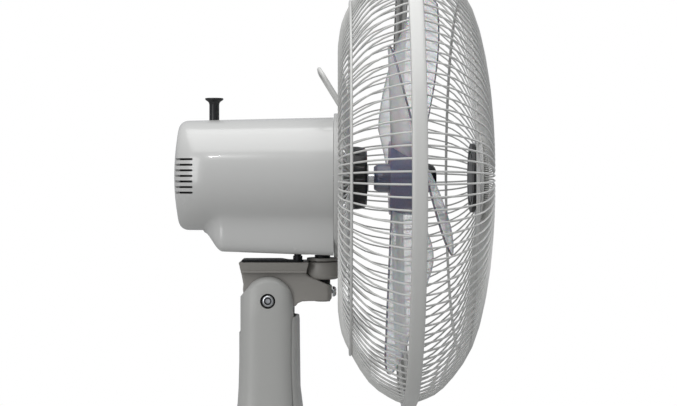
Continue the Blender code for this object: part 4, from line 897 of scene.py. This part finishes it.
fitted(smoothed(flange, 35), "head", ["housing_front_cover"], "grey_gloss_plastic", glossy_abs)

# Push-pull knob of the swing clutch: a stem with a flared, dished cap.
clutch = turn("swing_clutch_knob", [(0.0050, 0.0285), (0.0050, 0.0600), (0.0050, 0.0738), (0.0054, 0.0756),
                                    (0.0066, 0.0770), (0.0084, 0.0781), (0.0091, 0.0788), (0.0092, 0.0796),
                                    (0.0089, 0.0802), (0.0082, 0.0803), (0.0062, 0.0796), (0.0030, 0.0790)], sides=64)
lay(clutch, at=(KNOB_X, KNOB_Y, AXIS_Z))
fitted(clutch, "clutch_knob", ["oscillation_knob"], "black_plastic", black_plastic)


# ---------------------------------------------------------------- rear guard
# Mild-steel wire, 1.8 mm thick, laid side by side round the fan and spot-welded to hoops and to a stamped centre
# plate, then enamelled warm grey. Modelled as one wire that is bent once and set round the axis.

def eased(knots, count):
    """Points along a smooth curve through knots, evenly many between each pair (Catmull-Rom)."""
    ends = [2 * Vector(knots[0]) - Vector(knots[1])] + [Vector(k) for k in knots]
    ends.append(2 * ends[-1] - ends[-2])
    points = []
    for a, b, c, d in zip(ends, ends[1:], ends[2:], ends[3:]):
        for i in range(count):
            t = i / count
            points.append(0.5 * (2 * b + (c - a) * t + (2 * a - 5 * b + 4 * c - d) * t * t
                                 + (3 * b - a - 3 * c + d) * t ** 3))
    points.append(ends[-2])
    return points


def on_axis(profile):
    """A profile of (radius, forward) as points above the fan's axis."""
    return [(0, -forward, AXIS_Z + radius) for radius, forward in profile]


def set_round(piece, count):
    """Repeats the whole mesh round the fan's axis."""
    only(piece)
    bpy.ops.object.mode_set(mode="EDIT")
    bpy.ops.mesh.select_all(action="SELECT")
    bpy.ops.mesh.spin(steps=count - 1, angle=2 * math.pi * (count - 1) / count, dupli=True,
                      center=(0, 0, AXIS_Z), axis=(0, 1, 0))
    bpy.ops.object.mode_set(mode="OBJECT")
    return piece


def hoop(name, radius, forward, thickness):
    """A wire ring round the fan's axis."""
    alone()
    bpy.ops.mesh.primitive_torus_add(major_radius=radius, minor_radius=thickness / 2, major_segments=144,
                                     minor_segments=8, location=(0, -forward, AXIS_Z),
                                     rotation=(math.radians(90), 0, 0))
    ring = bpy.context.object
    ring.name = name
    bpy.ops.object.shade_smooth()
    return ring


GUARD_WIRES = 126
WIRE = 0.0018
enamel, tree, shader = new_material("grey_wire_enamel", "#C6C6C3", Roughness=0.34, IOR=1.52, Coat_Weight=0.25,
                                    Coat_Roughness=0.2)
# Sprayed enamel pools in 4 mm waves, the orange peel that breaks up its highlights.
peel = add_node(tree, "TexNoise", Scale=240.0, Detail=2.0, Roughness=0.5)
peel_relief = add_node(tree, "Bump", {"Height": peel.outputs["Fac"]}, Strength=0.12, Distance=0.0003)
tree.links.new(peel_relief.outputs["Normal"], shader.inputs["Normal"])

rear_wire = eased([(0.0350, 0.0800), (0.0620, 0.0790), (0.0900, 0.0762), (0.1180, 0.0695), (0.1380, 0.0700),
                   (0.1620, 0.0762), (0.2000, 0.0990), (0.2180, 0.1250), (0.2190, 0.1350)], 3)
wires = set_round(bend_wire("rear_wires", on_axis(rear_wire), WIRE), GUARD_WIRES)
support = joined("rear_support", hoop("hoop", 0.1180, 0.0720, 0.0026), hoop("hoop", 0.1740, 0.0803, 0.0026))
rim = hoop("rear_rim", 0.2185, 0.1335, 0.0040)
inner_hoop = hoop("rear_inner_hoop", 0.0560, 0.0812, 0.0030)
rear_guard = joined("rear_guard_wires", wires, support, rim, inner_hoop)
fitted(rear_guard, "head", ["rear_guard"], "grey_painted_steel", enamel)


# ---------------------------------------------------------------- front guard
# The same enamelled wire, domed, its outer ends crimped into the band and its inner ends curled back round the
# badge.

front_wire = eased([(0.0414, 0.2088), (0.0432, 0.2143), (0.0620, 0.2158), (0.1180, 0.2098), (0.1700, 0.1955),
                    (0.2060, 0.1690), (0.2180, 0.1470), (0.2190, 0.1385)], 3)
wires = set_round(bend_wire("front_wires", on_axis(front_wire), WIRE), GUARD_WIRES)
support = hoop("front_support", 0.1765, 0.1895, 0.0030)
rim = hoop("front_rim", 0.2185, 0.1400, 0.0040)
inner_hoop = hoop("front_inner_hoop", 0.0434, 0.2080, 0.0022)
front_guard = joined("front_guard_wires", wires, support, rim, inner_hoop)
fitted(front_guard, "head", ["front_guard"], "grey_painted_steel", enamel)


# ---------------------------------------------------------------- guard fittings
# A stamped centre plate carries the rear wires and is held on the nose by a ribbed black ring nut. A rod bent to a U
# is welded on as a carry handle, and a rolled steel band closes both guards with a clamp screw below.

plate = turn("guard_centre_plate", [(0.0146, 0.0792), (0.0345, 0.0792), (0.0358, 0.0797), (0.0360, 0.0806),
                                    (0.0352, 0.0812), (0.0240, 0.0812), (0.0225, 0.0806), (0.0146, 0.0806)],
             hollow=True)
forwards(plate)
fitted(plate, "head", [], "grey_painted_steel", enamel)

nut = turn("guard_ring_nut", [(0.0146, 0.0820), (0.0306, 0.0820), (0.0312, 0.0826), (0.0312, 0.0875),
                              (0.0302, 0.0940), (0.0294, 0.0952), (0.0272, 0.0968), (0.0262, 0.0970),
                              (0.0180, 0.0970), (0.0146, 0.0964)], hollow=True)
cut(nut, *ring_of_rods(16, 0.0026, 0.020, 0.0324, 0.0952, 24))
forwards(nut)
fitted(smoothed(nut, 35), "head", ["guard_nut"], "black_plastic", black_plastic)

foot, head_end = Vector((0.0747, 0.066)), Vector((0.0500, 0.1060))
rise = head_end - foot
BEND = 0.012
bow = [(0.036, foot), (0.036, foot + rise * 0.35), (0.036, foot + rise * (1 - BEND / rise.length))]
for i in range(1, 9):
    angle = math.radians(90 * i / 8)
    along = 1 - BEND * (1 - math.sin(angle)) / rise.length
    bow.append((0.024 + BEND * math.cos(angle), foot + rise * along))
half = [(x, -place.x, AXIS_Z + place.y) for x, place in bow]
path = half + [(-x, y, z) for x, y, z in half[::-1]]
handle = bend_wire("carry_handle_rod", path, 0.0040, 14)
fitted(smoothed(handle, 50), "head", ["carry_handle"], "grey_painted_steel", enamel)

band = turn("guard_clamp_band", [(0.2207, 0.1300), (0.2228, 0.1301), (0.2243, 0.1308), (0.2249, 0.1322),
                                 (0.2250, 0.1345), (0.2250, 0.1390), (0.2249, 0.1413), (0.2243, 0.1427),
                                 (0.2228, 0.1434), (0.2207, 0.1435), (0.2213, 0.1424), (0.2232, 0.1415),
                                 (0.2236, 0.1390), (0.2236, 0.1345), (0.2232, 0.1320), (0.2213, 0.1311)],
            sides=240, hollow=True)
forwards(band)
lug = block("band_lug", (-0.0060, -0.1425, AXIS_Z - 0.2310), (0.0060, -0.1310, AXIS_Z - 0.2235), 0.0012, 3)
fuse(band, lug)
gap = block("band_gap", (-0.0006, -0.16, AXIS_Z - 0.24), (0.0006, -0.12, AXIS_Z - 0.215))
SCREW_AT = (0, -0.1367, AXIS_Z - 0.2282)
cut(band, gap, rod(0.0018, 0.04, SCREW_AT, "X", 24))
fitted(smoothed(band, 40), "head", ["guard_band"], "grey_painted_steel", enamel)

clamp = turn("band_clamp_screw", [(0.0013, -0.0080), (0.0015, -0.0076), (0.0015, 0.0064), (0.0029, 0.0064),
                                  (0.0030, 0.0069), (0.0029, 0.0080), (0.0024, 0.0087), (0.0014, 0.0090)], sides=32)
notch = block("notch", (-0.0004, -0.004, 0.0080), (0.0004, 0.004, 0.0100))
cut(clamp, notch)
lay(clamp, (0, -90, 0), SCREW_AT)
fitted(smoothed(clamp, 35), "head", ["band_screw"], "bright_steel", zinc)


# ---------------------------------------------------------------- fan blades
# Injection-moulded in one shot of clear styrene tinted lavender: three wide, cambered blades that swirl out of a cup
# hub. Thin flat walls look nearly clear, and the hub and the cut rims, seen through more plastic, look darker.

def clear_styrene(name, hue, depth):
    """Clear tinted plastic: mostly see-through from the front, mirror-like and deeper in colour at a slant."""
    material, tree, shader = new_material(name, hue, Roughness=0.05, IOR=1.59, Coat_Weight=0.3, Coat_Roughness=0.05,
                                          Subsurface_Weight=0.7, Subsurface_Scale=0.01)
    slant = add_node(tree, "LayerWeight", Blend=0.35)
    # Flow marks of the moulding, some 25 mm across, vary how deep the tint looks.
    flow = add_node(tree, "TexNoise", Scale=40.0, Detail=1.0, Roughness=0.4)
    cloud = add_node(tree, "MapRange", {"Value": flow.outputs["Fac"]}, From_Min=0.3, From_Max=0.7,
                     To_Min=depth - 0.04, To_Max=depth + 0.04)
    cover = add_node(tree, "MapRange", {"Value": slant.outputs["Facing"], "To Min": cloud.outputs["Result"]},
                     From_Min=0.25, From_Max=1.0, To_Max=min(0.95, depth + 0.35))
    tree.links.new(cover.outputs["Result"], shader.inputs["Alpha"])
    waviness = add_node(tree, "Bump", {"Height": flow.outputs["Fac"]}, Strength=0.10, Distance=0.0006)
    tree.links.new(waviness.outputs["Normal"], shader.inputs["Normal"])
    return material


blade_clear = clear_styrene("lavender_clear_styrene", "#F2F2F7", 0.34)
hub_clear = clear_styrene("lavender_styrene_thick", "#6A6C84", 0.80)
edge_clear = clear_styrene("lavender_styrene_edge", "#4C4D60", 0.85)
cup_clear = clear_styrene("lavender_styrene_cup", "#8486A0", 0.50)


BLADE_ROOT, BLADE_TIP = 0.0345, 0.197


def blade_place(reach, share):
    """A point of the first blade, from its front edge (share 0) to its rear edge (share 1)."""
    fade = math.exp(-(reach - 0.035) / 0.040)
    trailing = -24 + 44 * fade
    angle = math.radians(trailing + (42 + 18 * fade - trailing) * share)
    rise = (reach - 0.033) / (BLADE_TIP - 0.033)
    front = 0.152 + 0.020 * math.sin(min(1.0, rise * 1.25) * math.pi / 2) - 0.006 * rise ** 4
    rear = 0.121 - 0.008 * rise
    forward = rear + (front - rear) * (1 - share) ** 1.25
    return (-reach * math.cos(angle), -forward, AXIS_Z + reach * math.sin(angle))


alone()
bpy.ops.mesh.primitive_grid_add(x_subdivisions=40, y_subdivisions=40, size=1)
blade = bpy.context.object
for vertex in blade.data.vertices:
    across = vertex.co.y + 0.5
    rounding = abs(2 * across - 1) ** 5
    length = BLADE_TIP - BLADE_ROOT - 0.020 * rounding
    vertex.co = blade_place(BLADE_ROOT + length * (vertex.co.x + 0.5), across)
blade = joined("blade_1", blade)
painted(blade, blade_clear, edge_clear)
apply_to(blade, "SOLIDIFY", thickness=0.0022, offset=0.0, material_offset_rim=1)
apply_to(blade, "BEVEL", width=0.0007, segments=2, limit_method="ANGLE", angle_limit=math.radians(60))
smoothed(blade, 50)
blades = [blade]
for number in (1, 2):
    twin = copied(blade, f"blade_{number + 1}", at=(0, 0, -AXIS_Z))
    blades.append(lay(twin, (0, 120 * number, 0), (0, 0, AXIS_Z)))
for wing in blades:
    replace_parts(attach(wing, "rotor"), "fan_blade")

hub = turn("blade_hub", [(0.0041, 0.1495), (0.0300, 0.1483), (0.0340, 0.1470), (0.0358, 0.1450), (0.0365, 0.1420),
                         (0.0365, 0.1196), (0.0361, 0.1190), (0.0346, 0.1190), (0.0340, 0.1196), (0.0340, 0.1420),
                         (0.0320, 0.1445), (0.0140, 0.1457), (0.0140, 0.1085), (0.0120, 0.1050), (0.0112, 0.1040),
                         (0.0041, 0.1040)], hollow=True)
ribs = []
for i in range(6):
    rib = block("rib", (0.0130, -0.0008, 0.1200), (0.0350, 0.0008, 0.1462))
    ribs.append(lay(rib, (0, 0, 60 * i)))
fuse(hub, *ribs)
forwards(hub)
fitted(smoothed(hub, 35), "rotor", ["fan_blade"], "clear_blade_plastic", cup_clear, hub_clear)
for face in hub.data.polygons:
    face.material_index = int(math.hypot(face.center.x, face.center.z - AXIS_Z) < 0.016 or face.center.y < -0.1400)

spinner = turn("blade_lock_nut", [(0.0041, 0.1498), (0.0148, 0.1498), (0.0150, 0.1502), (0.0149, 0.1540),
                                  (0.0142, 0.1590), (0.0128, 0.1622), (0.0105, 0.1645), (0.0075, 0.1657),
                                  (0.0030, 0.1660)], sides=72)
cut(spinner, *ring_of_rods(10, 0.0020, 0.03, 0.0160, 0.1560, 20), rod(0.0041, 0.0190, (0, 0, 0.1495)))
forwards(spinner)
fitted(smoothed(spinner, 35), "rotor", ["spinner_nut"], "black_plastic", black_plastic)


# ---------------------------------------------------------------- badge
# A plain satin disc with a raised rim and a spun centre, clipped through the front wires to a black backing plate.
# Its face carries no mark.

backing = turn("badge_backing_plate", [(0.0340, 0.1997), (0.0343, 0.2003), (0.0343, 0.2024), (0.0338, 0.2036),
                                       (0.0300, 0.2045)], sides=96)
ring_groove = turn("ring_groove", [(0.0240, 0.1980), (0.0240, 0.2006), (0.0270, 0.2006), (0.0270, 0.1980)],
                   hollow=True)
cut(backing, ring_groove)
forwards(backing)
fitted(smoothed(backing, 35), "head", ["badge_back"], "black_plastic", black_plastic)

# A black ring set just behind the curled wire ends is painted shade: it darkens the gaps between them, as the badge's
# shadow does.
comb_shade_ring = turn("badge_comb_shade_ring", [(0.0384, 0.2094), (0.0398, 0.2098), (0.0400, 0.2106), (0.0400, 0.2126),
                                     (0.0396, 0.2134), (0.0384, 0.2136)], sides=96, hollow=True)
forwards(comb_shade_ring)
fitted(comb_shade_ring, "head", [], "black_plastic", black_plastic)
badge = turn("badge_disc", [(0.0340, 0.2050), (0.0395, 0.2054), (0.0407, 0.2062), (0.0410, 0.2070), (0.0410, 0.2084),
                            (0.0406, 0.2092), (0.0384, 0.2094), (0.0383, 0.2130), (0.0379, 0.2139), (0.0370, 0.2142),
                            (0.0356, 0.2131), (0.0348, 0.2129), (0.0200, 0.2141), (0.0060, 0.2150)], sides=128,
             smooth_deg=24)
forwards(badge)
fitted(badge, "head", ["badge"], "grey_gloss_plastic", glossy_abs)


# ---------------------------------------------------------------- the sizes, and the end

low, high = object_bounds()
